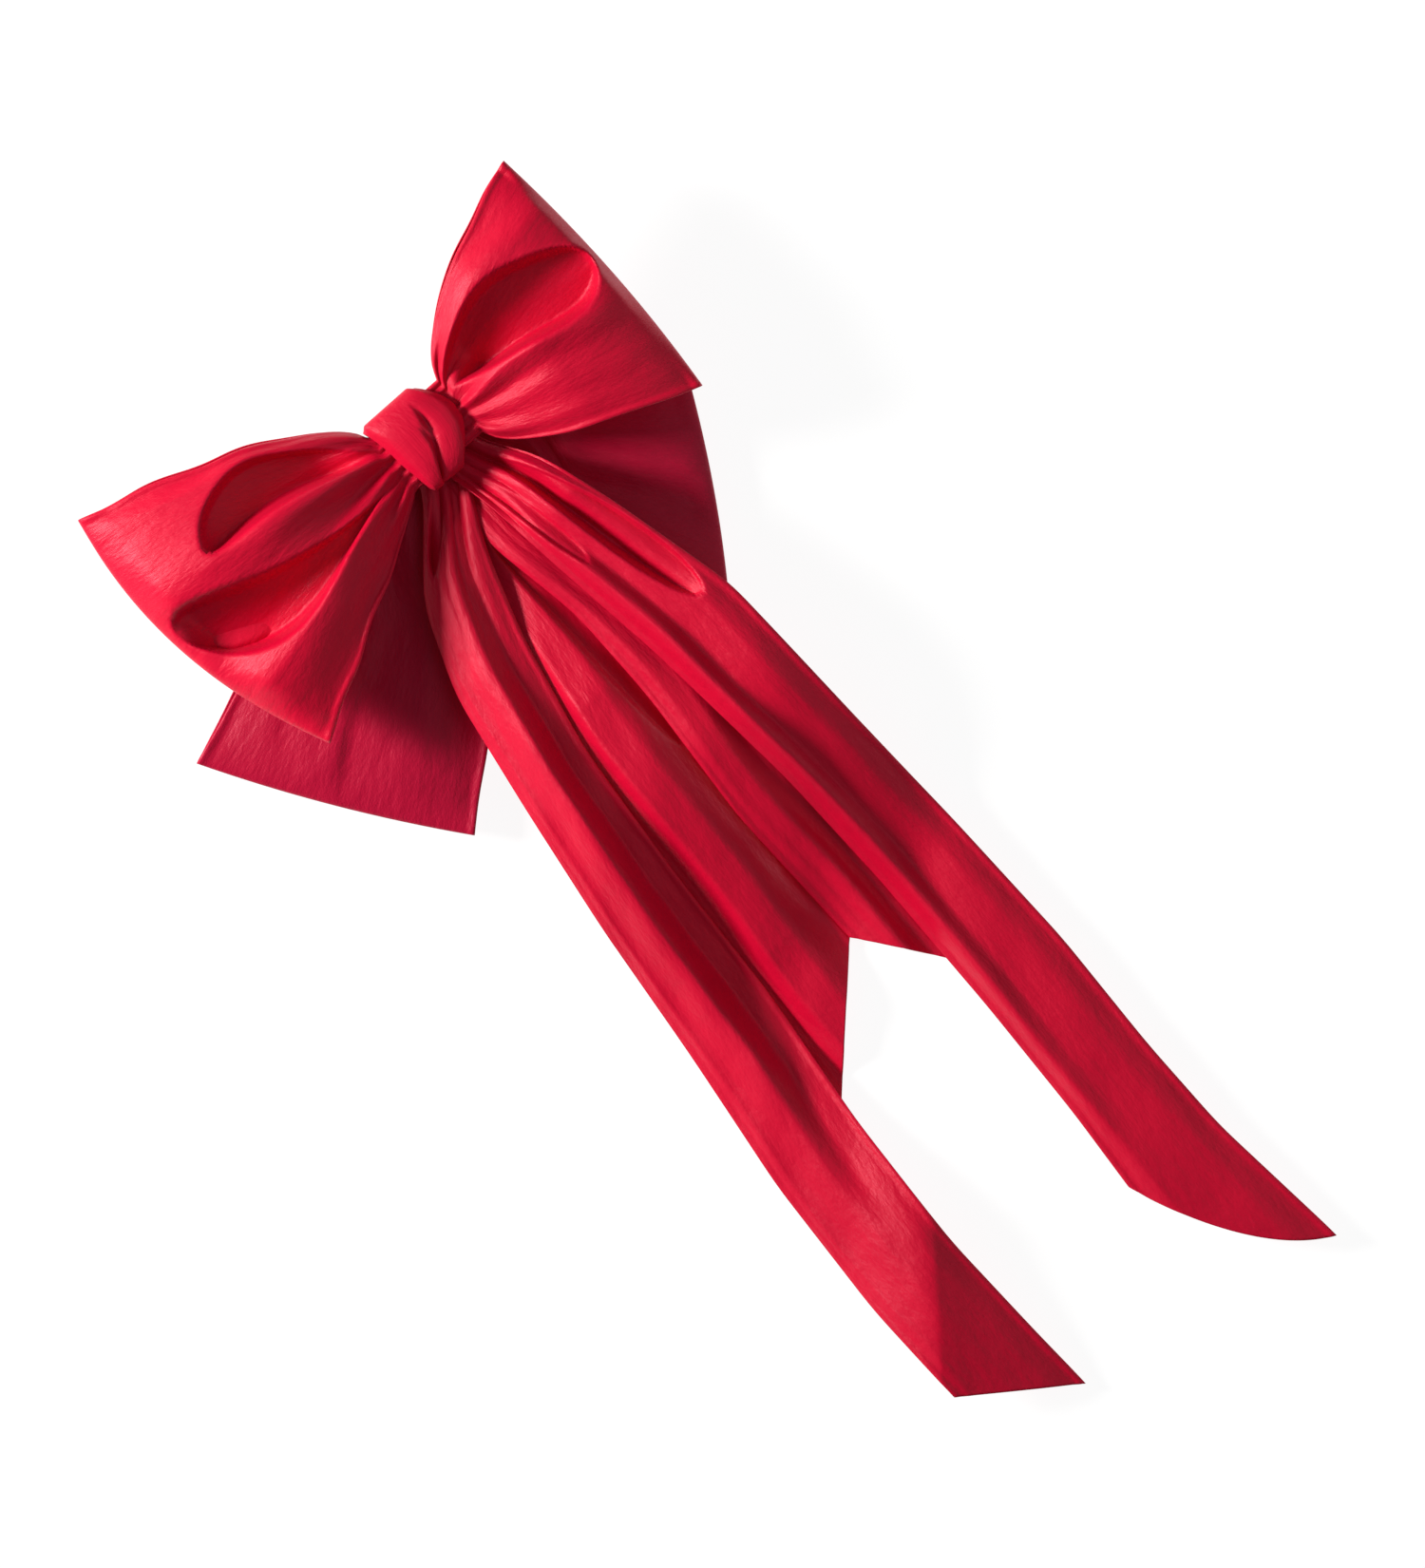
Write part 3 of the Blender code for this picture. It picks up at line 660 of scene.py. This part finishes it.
    def _folds(self, cut: LoopCut, free: Array, across: Array, face: Array) -> Array:
        """Big folds that fan out from the knot, and the fine gathers beside it."""
        spread = smooth(free / 0.8)
        knots = [near + (far - near) * spread
                 for near, far in zip(cut.folds_at_knot, cut.folds_at_edge)]
        heights = [near + (far - near) * spread
                   for near, far in zip(cut.heights_at_knot, cut.heights_at_edge)]
        drift = 0.03 * ripple(free, cut.seed + 5, 3, 0.6, 1.6)
        big = np.where(face > 0.0, 1.0, -0.35) * folded(across + drift, knots, heights,
                                                        cut.crisp)
        big = big + np.where(face > 0.0, 1.0, -0.2) * sum(
            hollow.height(free, across + drift) for hollow in cut.hollows)
        rise = smooth(free / 0.22) * smooth((1.0 - free) / (1.0 - cut.fold_end))
        fine = np.zeros_like(big)
        for count, decay, share in LOOP_GATHERS:
            waves = np.sin(TAU * (count * across / 2.0 + 0.15 * cut.seed)
                           + 1.2 * ripple(across, cut.seed + int(count), 3, 0.4, 1.2))
            fine = fine + share * waves * np.exp(-free / decay)
        crush = 0.35 * MM * ripple(across * 1.4 + free * 0.7, cut.seed + 9, 5, 1.0, 3.2) * (
            smooth(free * 2.5) * smooth((1.0 - free) * 6.0))
        return (big * rise
                + self.gather * fine * smooth((1.0 - free) * 3.0)
                * (0.40 + 0.60 * smooth(free / 0.06)) + crush)


# --- Tails ----------------------------------------------------------------------------------------


@dataclass(frozen=True)
class TurnedEnd:
    """A crease across a tail's end; past it the cloth slopes away.

    Attributes:
        start, end: Two places of the crease, as x and y.
        slope: Fall of the cloth beyond the crease.
        height: Height of the crease in metres.
    """

    start: tuple[float, float]
    end: tuple[float, float]
    slope: float
    height: float


@dataclass
class Tail:
    """A gathered ribbon from the knot to its slanted cut; sizes in metres.

    Attributes:
        layer: 0 for the lowest tail, one more for each tail above.
        downs, lefts, rights: Distances below the knot, and both edges' x at each.
        ends: How far down the cut's left and right corners are; end_bow rounds the cut.
        folds: Ridges and valleys as shares of the width.
        fold_downs, fold_heights: Distances below the knot, and the folds' heights at each.
        waves, gather, dip: Pleats across at the knot, their size, and how low they sit.
        relief, crisp: Factor on the folds' heights, and how sharp they are.
        spread_layers: What each layer rises further once it is clear of the knot.
        drop: Distances from the knot between which it comes down to the table.
    """

    name: str
    body: str
    layer: int
    downs: tuple[float, ...]
    lefts: tuple[float, ...]
    rights: tuple[float, ...]
    ends: tuple[float, float]
    folds: tuple[float, ...]
    fold_downs: tuple[float, ...]
    fold_heights: tuple[tuple[float, ...], ...]
    waves: float
    seed: int
    flat: tuple[float, float]
    flat_area: float
    hollows: tuple[Hollow, ...] = ()
    turned: TurnedEnd | None = None
    end_bow: float = 0.0
    relief: float = 1.7
    gather: float = 2.3 * MM
    crisp: float = 0.20
    cloth: float = 0.45 * MM
    spread_layers: float = 2.2 * MM
    dip: float = 0.5
    drop: tuple[float, float] = (126.0 * MM, 215.0 * MM)
    along: int = 330
    across: int = 84

    def build(self, wardrobe: Wardrobe) -> bpy.types.Object:
        """Args:
            wardrobe: Where the finish comes from.

        Returns:
            The finished piece.
        """
        along = np.linspace(0.0, 1.0, self.along)[:, None]
        across = crowded(0.0, 1.0, self.across)[None, :]
        start = self.downs[0]
        down = start + along * ((self.ends[0] - start) * (1.0 - across)
                                + (self.ends[1] - start) * across
                                + self.end_bow * 4.0 * across * (1.0 - across))
        left = self._eased(down, self.lefts)
        right = self._eased(down, self.rights)
        x = left + (right - left) * across
        radius = np.hypot(x, down)
        inset = np.minimum(across, 1.0 - across) * (right - left)
        z = (self._rest_height(radius) + self._fold_height(down, across, x)
             + hem(inset) * smooth(down / (40.0 * MM)))
        points = np.stack((x, -down, z), axis=-1)
        width = self.flat[0]
        cloth = np.stack(np.broadcast_arrays(down, across * width), axis=-1)
        piece = strip_mesh(self.name, points[:, ::-1], cloth[:, ::-1])
        thicken(piece, self.cloth)
        wardrobe.dress(piece, Finish.RED_SATIN)
        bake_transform(piece)
        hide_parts(self.name.replace("_satin", ""))
        LOG.info("%s: tail on body %s", self.name, self.body)
        return piece

    def _eased(self, down: Array, values: Sequence[float]) -> Array:
        """Edge position down the tail: the stations joined and their corners rounded.

        The straight-line reading is averaged over a short window of distances.
        """
        shifts = np.linspace(-EDGE_WINDOW, EDGE_WINDOW, EDGE_READS)
        weights = np.cos(np.linspace(-1.3, 1.3, EDGE_READS)) ** 2
        reads = [weight * np.interp(down + shift, self.downs, values)
                 for shift, weight in zip(shifts, weights)]
        return sum(reads) / weights.sum()

    def _rest_height(self, radius: Array) -> Array:
        """Height the tail lies at: over the rear tier, then down on the table."""
        _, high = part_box(self.name.replace("_satin", ""))
        root = high[2] - 1.0 * MM - self.layer * LAYER_STEP
        fall = smooth((radius - self.drop[0]) / (self.drop[1] - self.drop[0]))
        closed_up = 1.0 - SETTLED * fall
        apart = smooth((radius - 18.0 * MM) / (34.0 * MM)) * closed_up
        step = LAYER_STEP * closed_up + self.spread_layers * apart
        return root * (1.0 - fall) + 0.5 * MM + self.layer * step

    def _fold_height(self, down: Array, across: Array, x: Array) -> Array:
        """Long folds down the ribbon, gathers at its root and soft dents."""
        heights = [np.interp(down, self.fold_downs, column)
                   for column in zip(*self.fold_heights)]
        drift = 0.035 * ripple(down / (120.0 * MM), self.seed, 3, 0.5, 1.5)
        knots = [self.folds[0]] + [knot + drift for knot in self.folds[1:-1]] + [self.folds[-1]]
        big = folded(across + np.zeros_like(down), knots, heights, self.crisp)
        root = down - KNOT_EDGE
        fine = np.zeros_like(big)
        for count, decay, size in ((self.waves, 0.028, 0.9), (self.waves * 0.6, 0.050, 1.0)):
            phase = 0.9 * ripple(across, self.seed + int(10 * count), 3, 0.4, 1.2)
            turn = 0.5 * (TAU * count * across + self.seed + phase)
            pleats = 2.0 * np.abs(np.sin(turn)) - self.dip
            fine = fine + size * pleats * np.exp(-(np.clip(root, 0.0, None) / decay) ** 1.3)
        held = self.gather * (0.4 + 0.6 * smooth(root / FOLD_RUN))
        soft = 0.5 * MM * ripple(down / (60.0 * MM) + 0.8 * across, self.seed + 3, 5, 0.5, 2.0)
        big = big * self.relief + sum(hollow.height(down, across) for hollow in self.hollows)
        height = big * smooth(root / FOLD_RUN) + fine * held + soft * smooth(root / (60.0 * MM))
        if self.turned is not None:
            height = height + self._turn(self.turned, x, -down)
        lowest = -0.35 * MM * smooth(root / (30.0 * MM)) - 1.0 * MM
        return np.maximum(height, lowest)

    @staticmethod
    def _turn(turned: TurnedEnd, x: Array, y: Array) -> Array:
        """Height of a turned end: a rise up to its crease and a slope beyond it."""
        along = np.array(turned.end) - np.array(turned.start)
        normal = np.array((-along[1], along[0])) / np.hypot(*along)
        past = (x - turned.start[0]) * normal[0] + (y - turned.start[1]) * normal[1]
        near = turned.height * np.exp(-(np.clip(past, None, 0.0) / (24.0 * MM)) ** 2)
        return near - np.minimum(turned.slope * np.clip(past, 0.0, None), turned.height)


# --- Knot -----------------------------------------------------------------------------------------


@dataclass
class Knot:
    """Band of satin round the gathers, with one slanted tuck in its face."""

    name: str = "knot_band_satin"
    finish: Finish = Finish.RED_SATIN
    half_widths: tuple[float, float, float] = (11.0 * MM, 13.0 * MM, 7.0 * MM)
    middles: tuple[float, float, float] = (-4.0 * MM, 0.5 * MM, -3.5 * MM)
    crown: float = 3.2 * MM
    tilt: float = 0.05
    skirt: float = 7.0 * MM
    corner: float = 0.46
    flat: tuple[float, float] = (27.0 * MM, 84.0 * MM)
    cloth: float = 0.5 * MM
    round_steps: int = 150
    across: int = 84

    def build(self, wardrobe: Wardrobe) -> bpy.types.Object:
        """The first parameter turns once round the gathers in the YZ plane on a rounded
        rectangle, the second runs across the band. Behind the knot the band reaches down
        by the skirt and covers the tails' roots.
        """
        low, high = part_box("knot_wrap")
        middle_z = (low[2] + high[2]) / 2
        half_y = (high[1] - low[1]) / 2
        half_z = (high[2] - low[2]) / 2
        turn = np.linspace(0.0, TAU, self.round_steps)[:, None]
        across = np.linspace(-1.0, 1.0, self.across)[None, :]
        y = half_y * np.sign(np.cos(turn)) * np.abs(np.cos(turn)) ** self.corner
        z = half_z * np.sign(np.sin(turn)) * np.abs(np.sin(turn)) ** self.corner
        front = smooth(0.5 + 0.9 * np.sin(turn))
        share = y / half_y
        low_half = np.clip(-np.sin(turn), 0.0, 1.0) ** self.corner
        z = z - self.skirt * smooth(0.5 + 0.8 * share) * low_half
        top, waist, bottom = self.half_widths
        half_x = np.where(share > 0.0, waist + (top - waist) * share ** 2,
                          waist + (bottom - waist) * np.abs(share) ** 1.6)
        high_x, mid_x, low_x = self.middles
        middle_x = np.where(share > 0.0, mid_x + (high_x - mid_x) * share ** 2,
                            mid_x + (low_x - mid_x) * share ** 2)
        relief = self._relief(across, share) * front
        swell = 1.0 + (self.crown * (1.0 - across ** 4) * (1.0 - 0.55 * share ** 2) * front
                       + relief) / half_z
        edge = 1.0 - 0.10 * smooth((np.abs(across) - 0.8) / 0.2)
        points = np.stack(np.broadcast_arrays(
            across * half_x + middle_x,
            y * (1.0 + 0.04 * relief / MM) * edge,
            middle_z + z * swell * edge + self.tilt * y * front), axis=-1)
        length = self.flat[1]
        cloth = np.stack(np.broadcast_arrays(turn / TAU * length, across * self.flat[0] / 2),
                         axis=-1)
        piece = join([strip_mesh(self.name, points, cloth)])
        thicken(piece, self.cloth)
        wardrobe.dress(piece, self.finish)
        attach(piece, "bow")
        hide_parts("knot_wrap")
        LOG.info("%s: band with one tuck", self.name)
        return piece

    @staticmethod
    def _relief(across: Array, share: Array) -> Array:
        """One deep tuck that slants down the lower part of the band's face."""
        tuck = 0.04 + 0.40 * share
        deep = smooth((0.80 - share) / 0.7)
        step = (across - tuck) / 0.12
        ledge = -1.9 * MM * smooth(0.5 + step) * np.exp(-np.clip(step, 0.0, None) / 4.0)
        valley = -1.0 * MM * np.exp(-((across - tuck - 0.08) / 0.09) ** 2)
        return (ledge + valley) * deep


# --- The whole bow --------------------------------------------------------------------------------


@dataclass
class Clip:
    """Metal clip, felt and thread, which keep the design's own meshes."""

    finishes: dict[str, Finish] = field(default_factory=lambda: {
        "barrette_base_plate": Finish.BRIGHT_STEEL,
        "barrette_clasp_arm": Finish.BRIGHT_STEEL,
        "barrette_hinge_pin": Finish.BRIGHT_STEEL,
        "barrette_strip_rivet": Finish.BRIGHT_STEEL,
        "barrette_tension_strip": Finish.SPRING_STEEL,
        "catch_prong_front": Finish.SPRING_STEEL,
        "catch_prong_rear": Finish.SPRING_STEEL,
        "backing_felt": Finish.RED_FELT,
        "clip_stitch_left": Finish.RED_THREAD,
        "clip_stitch_right": Finish.RED_THREAD,
        "stitch_shank": Finish.RED_THREAD,
    })

    def build(self, wardrobe: Wardrobe) -> None:
        """Give every carried-over node its finish."""
        for node, finish in self.finishes.items():
            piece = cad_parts[node]
            piece.data.materials.clear()
            piece.data.materials.append(wardrobe.get(finish))
            LOG.info("%s: %s", node, finish.value)


def front_tier() -> BowTier:
    """The front ring: tall loops, with two deep hollows on the left and one on the right."""
    low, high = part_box("front_bow_ring")
    knot_low, knot_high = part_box("knot_wrap")
    root = (knot_low[2] + knot_high[2]) / 2
    left = LoopCut(
        side=-1, reach=96.0 * MM, bulge=9.5 * MM, upper=53.5 * MM, lower=54.0 * MM,
        upper_power=0.60, lower_power=0.86, slant=math.radians(-7), swing=0.0,
        folds_at_knot=(-1.0, -0.45, -0.10, 0.20, 0.90, 1.0),
        folds_at_edge=(-1.0, -0.54, -0.22, 0.32, 0.85, 1.0),
        heights_at_knot=(-3.0 * MM, 2.5 * MM, -2.0 * MM, 3.0 * MM, 1.0 * MM, -1.0 * MM),
        heights_at_edge=(-4.5 * MM, 3.5 * MM, -1.5 * MM, 4.0 * MM, 0.5 * MM, -2.0 * MM),
        hollows=(Hollow(0.0, 0.69, (0.34, 0.61, 0.43), 0.56, 15.0 * MM, 0.5),
                 Hollow(0.05, 0.97, (-0.33, -0.28, 0.05), 0.60, 15.5 * MM, 1.3, 0.62, 0.2)),
        seed=11)
    right = LoopCut(
        side=1, reach=77.5 * MM, bulge=2.5 * MM, upper=49.5 * MM, lower=47.5 * MM,
        upper_power=0.58, lower_power=0.58, slant=0.0, swing=0.0,
        folds_at_knot=(-1.0, -0.72, -0.45, -0.22, 0.02, 0.80, 1.0),
        folds_at_edge=(-1.0, -0.74, -0.52, -0.36, -0.14, 0.62, 1.0),
        heights_at_knot=(-1.5 * MM, -1.0 * MM, 0.8 * MM, -1.2 * MM, 3.0 * MM, 2.0 * MM,
                         -1.0 * MM),
        heights_at_edge=(-1.6 * MM, -0.4 * MM, 0.6 * MM, 1.4 * MM, 3.4 * MM, 2.0 * MM,
                         -2.5 * MM),
        hollows=(Hollow(0.0, 0.97, (0.52, 0.28, 0.15), 0.76, 18.0 * MM, 0.42, 0.62, 0.2),),
        seed=23, fold_end=0.94)
    return BowTier(
        name="front_bow_satin", node="front_bow_ring", finish=Finish.RED_SATIN,
        loops=(left, right), root_half_width=11.0 * MM, root_middle=root,
        root_half_height=2.5 * MM, edge_middle=low[2] + 0.46 * (high[2] - low[2]),
        puff=9.5 * MM, gather=1.5 * MM, flat=(0.112, 0.385), flat_area=0.034)


def rear_tier() -> BowTier:
    """The rear ring: flatter loops that swing down on both sides of the tails."""
    low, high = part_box("rear_bow_ring")
    left = LoopCut(
        side=-1, reach=122.0 * MM, bulge=2.0 * MM, upper=47.0 * MM, lower=47.0 * MM,
        upper_power=0.75, lower_power=0.42, slant=0.0, swing=math.radians(34),
        folds_at_knot=(-1.0, -0.55, -0.20, 0.20, 0.60, 1.0),
        folds_at_edge=(-1.0, -0.45, -0.02, 0.10, 0.62, 1.0),
        heights_at_knot=(-2.0 * MM, 0.6 * MM, -1.2 * MM, 0.5 * MM, -1.4 * MM, -1.8 * MM),
        heights_at_edge=(-2.0 * MM, 0.8 * MM, -0.4 * MM, 0.8 * MM, -0.6 * MM, -1.8 * MM),
        hollows=(), seed=37)
    right = LoopCut(
        side=1, reach=94.5 * MM, bulge=2.5 * MM, upper=40.0 * MM, lower=40.0 * MM,
        upper_power=0.80, lower_power=0.38, slant=math.radians(23), swing=math.radians(55),
        folds_at_knot=(-1.0, -0.5, -0.1, 0.30, 0.70, 1.0),
        folds_at_edge=(-1.0, -0.4, 0.0, 0.30, 0.65, 1.0),
        heights_at_knot=(-1.5 * MM, 0.5 * MM, -1.6 * MM, 0.6 * MM, -1.2 * MM, -1.8 * MM),
        heights_at_edge=(-1.5 * MM, 0.5 * MM, -1.6 * MM, 0.6 * MM, -0.8 * MM, -1.8 * MM),
        hollows=(), seed=41)
    return BowTier(
        # The rear ring's satin is the darker copy of the front's, painted shade for the shadow it
        # lies in.
        name="rear_bow_satin", node="rear_bow_ring", finish=Finish.PAINTED_SHADE_RED_SATIN,
        loops=(left, right), root_half_width=14.5 * MM, root_shift=-3.5 * MM,
        root_middle=high[2] - 2.4 * MM, root_half_height=1.5 * MM,
        edge_middle=0.5 * (low[2] + high[2]), puff=5.4 * MM, gather=0.35 * MM,
        flat=(0.098, 0.455), flat_area=0.033, along=84, across=64)


def tails() -> list[Tail]:
    """The four tails, bottom one first."""
    short_left = Tail(
        name="tail_short_left_satin", body="short_left", layer=0,
        downs=(-0.010, 0.012, 0.040, 0.075, 0.110, 0.160, 0.214, 0.262),
        lefts=(-0.007, -0.008, -0.024, -0.033, -0.040, -0.043, -0.046, -0.047),
        rights=(0.006, 0.005, -0.001, 0.002, 0.001, -0.003, -0.005, -0.007),
        ends=(0.257, 0.214), folds=(0.0, 0.25, 0.42, 0.66, 1.0),
        fold_downs=(0.012, 0.045, 0.100, 0.200, 0.258),
        fold_heights=((0.0, 0.0, 0.0, 0.0, 0.0),
                      (0.0, 0.0, 0.0004, 0.0014, 0.0),
                      (0.0, 0.0002, 0.0050, 0.0050, 0.0002),
                      (0.0, 0.0004, 0.0056, 0.0060, 0.0006),
                      (0.0008, 0.0004, 0.0026, 0.0034, 0.0010)),
        hollows=(Hollow(0.018, 0.130, (0.66, 0.80, 0.90), 0.24, 2.6 * MM, 0.8, 0.1),),
        waves=3.0, gather=0.6 * MM, dip=1.4, seed=3, flat=(0.046, 0.268), flat_area=0.0102)
    long_left = Tail(
        name="tail_long_left_satin", body="long_left", layer=1,
        downs=(-0.010, 0.012, 0.040, 0.070, 0.110, 0.160, 0.210, 0.260, 0.310, 0.350, 0.376),
        lefts=(-0.007, -0.012, -0.037, -0.049, -0.056, -0.064, -0.070, -0.077, -0.080, -0.079,
               -0.078),
        rights=(0.006, 0.005, -0.010, -0.020, -0.029, -0.034, -0.037, -0.043, -0.046, -0.045,
                -0.044),
        ends=(0.349, 0.375), folds=(0.0, 0.14, 0.50, 0.74, 1.0),
        fold_downs=(0.012, 0.045, 0.100, 0.200, 0.300, 0.375),
        fold_heights=((0.0, 0.0, 0.0, 0.0, 0.0),
                      (0.0004, 0.0012, 0.0036, 0.0016, 0.0006),
                      (0.0002, 0.0022, 0.0062, 0.0008, 0.0002),
                      (0.0002, 0.0026, 0.0068, 0.0006, 0.0002),
                      (0.0002, 0.0018, 0.0030, 0.0028, 0.0016),
                      (0.0004, 0.0008, 0.0013, 0.0015, 0.0012)),
        hollows=(Hollow(0.006, 0.036, (0.34, 0.24, 0.20), 0.32, 5.0 * MM, 0.8, 0.4),),
        waves=2.6, seed=7, flat=(0.038, 0.385), flat_area=0.0140,
        turned=TurnedEnd(start=(-0.0455, -0.300), end=(-0.0790, -0.343), slope=0.27,
                         height=0.0125))
    short_right = Tail(
        name="tail_short_right_satin", body="short_right", layer=2,
        downs=(-0.010, 0.012, 0.040, 0.075, 0.110, 0.160, 0.214, 0.262),
        lefts=(-0.006, -0.005, -0.008, -0.002, -0.002, -0.006, -0.005, -0.003),
        rights=(0.007, 0.008, 0.012, 0.024, 0.031, 0.031, 0.030, 0.028),
        ends=(0.214, 0.261), folds=(0.0, 0.16, 0.32, 0.50, 1.0),
        fold_downs=(0.012, 0.045, 0.100, 0.200, 0.258),
        fold_heights=((0.0, 0.0, 0.0, 0.0, 0.0),
                      (0.0, 0.0006, 0.0004, 0.0, 0.0),
                      (0.0, 0.0016, 0.0008, 0.0, 0.0),
                      (0.0, 0.0012, 0.0028, 0.0, 0.0),
                      (0.0002, 0.0012, 0.0022, 0.0, 0.0)),
        waves=3.0, gather=0.6 * MM, dip=1.4, seed=13, flat=(0.040, 0.270), flat_area=0.0090)
    long_right = Tail(
        name="tail_long_right_satin", body="long_right", layer=3,
        downs=(-0.010, 0.012, 0.028, 0.055, 0.101, 0.160, 0.206, 0.260, 0.305, 0.340, 0.393),
        lefts=(-0.006, -0.004, 0.000, 0.003, 0.009, 0.014, 0.015, 0.014, 0.012, 0.009, 0.008),
        rights=(0.007, 0.012, 0.023, 0.031, 0.042, 0.044, 0.046, 0.047, 0.045, 0.045, 0.050),
        ends=(0.336, 0.393), folds=(0.0, 0.20, 0.36, 0.72, 1.0),
        fold_downs=(0.012, 0.045, 0.100, 0.200, 0.300, 0.393),
        fold_heights=((0.0, 0.0, 0.0, 0.0, 0.0),
                      (0.0002, 0.0034, 0.0012, 0.0038, 0.0018),
                      (0.0002, 0.0048, 0.0022, 0.0042, 0.0026),
                      (0.0002, 0.0046, 0.0024, 0.0036, 0.0024),
                      (0.0002, 0.0034, 0.0028, 0.0032, 0.0018),
                      (0.0002, 0.0014, 0.0022, 0.0022, 0.0008)),
        hollows=(Hollow(0.008, 0.098, (0.62, 0.72, 0.74), 0.46, 7.5 * MM, 0.9, 0.4),
                 Hollow(0.008, 0.066, (0.14, 0.24, 0.26), 0.26, 3.0 * MM, 0.8, 0.3)),
        end_bow=9.0 * MM, waves=3.4, seed=17, flat=(0.042, 0.403), flat_area=0.0142)
    return [short_left, long_left, short_right, long_right]


@dataclass
class Studio:
    """Pale table, soft light from beyond the bow's upper left, and a camera straight above."""

    turn: float = math.radians(-41.5)
    aim: tuple[float, float] = (-5.4 * MM, -146.4 * MM)
    view_height: float = 511.5 * MM
    plane: float = 20.0 * MM
    distance: float = 2.4
    key_place: tuple[float, float, float] = (-0.76, 0.75, 0.63)
    key_size: float = 0.30
    key_power: float = 26.5
    fill_place: tuple[float, float, float] = (0.9, -0.5, 1.3)
    fill_size: float = 1.6
    fill_power: float = 4.0
    sky_strength: float = 0.17

    def build(self) -> None:
        """Make the floor, lights and camera."""
        self._floor()
        self._light("key", self.key_place, self.key_size, self.key_power, (1.0, 0.975, 0.95))
        self._light("fill", self.fill_place, self.fill_size, self.fill_power,
                    (0.94, 0.96, 1.0))
        world = bpy.data.worlds.new("studio")
        world.use_nodes = True
        backdrop = world.node_tree.nodes["Background"]
        backdrop.inputs["Color"].default_value = (1.0, 1.0, 1.0, 1.0)
        backdrop.inputs["Strength"].default_value = self.sky_strength
        bpy.context.scene.world = world
        bpy.context.scene.view_settings.view_transform = "Standard"
        self._camera()
        LOG.info("studio: floor, two lights and camera")

    @staticmethod
    def _floor() -> None:
        """Wide pale table top just under the bow."""
        bpy.ops.mesh.primitive_plane_add(size=6.0, location=(0.0, -0.15, -0.0002))
        floor = bpy.context.object
        floor.name = "table_top"
        graph = Graph("table_white")
        floor.data.materials.append(graph.surface(
            Base_Color=(0.14, 0.14, 0.14, 1.0), Roughness=0.9, Specular_IOR_Level=0.0,
            Emission_Color=(1.0, 1.0, 1.0, 1.0), Emission_Strength=0.92))

    def _light(self, name: str, place: Sequence[float], size: float, power: float,
               colour: Colour) -> None:
        """Square soft light aimed at the middle of the bow."""
        lamp = bpy.data.lights.new(name, "AREA")
        lamp.size = size
        lamp.energy = power
        lamp.color = colour
        holder = bpy.data.objects.new(name, lamp)
        bpy.context.scene.collection.objects.link(holder)
        holder.location = place
        aim = Vector((self.aim[0], self.aim[1] * 0.5, 0.0)) - Vector(place)
        holder.rotation_euler = aim.to_track_quat("-Z", "Y").to_euler()

    def _camera(self) -> None:
        """Long lens straight above, turned so that the loops rise to the right."""
        lens = bpy.data.cameras.new("camera")
        lens.sensor_width = 36.0
        lens.lens = 36.0 * self.distance / self.view_height
        lens.clip_end = 20.0
        camera = bpy.data.objects.new("camera", lens)
        camera.location = (*self.aim, self.plane + self.distance)
        camera.rotation_euler = (0.0, 0.0, self.turn)
        bpy.context.scene.collection.objects.link(camera)
        bpy.context.scene.camera = camera


def main() -> None:
    """Build the bow's looks in order."""
    logging.basicConfig(level=logging.INFO, format="%(message)s")
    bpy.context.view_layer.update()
    wardrobe = Wardrobe()
    Clip().build(wardrobe)
    rear_tier().build(wardrobe)
    for tail in tails():
        tail.build(wardrobe)
    front_tier().build(wardrobe)
    Knot().build(wardrobe)
    Studio().build()


if __name__ == "__main__":
    main()
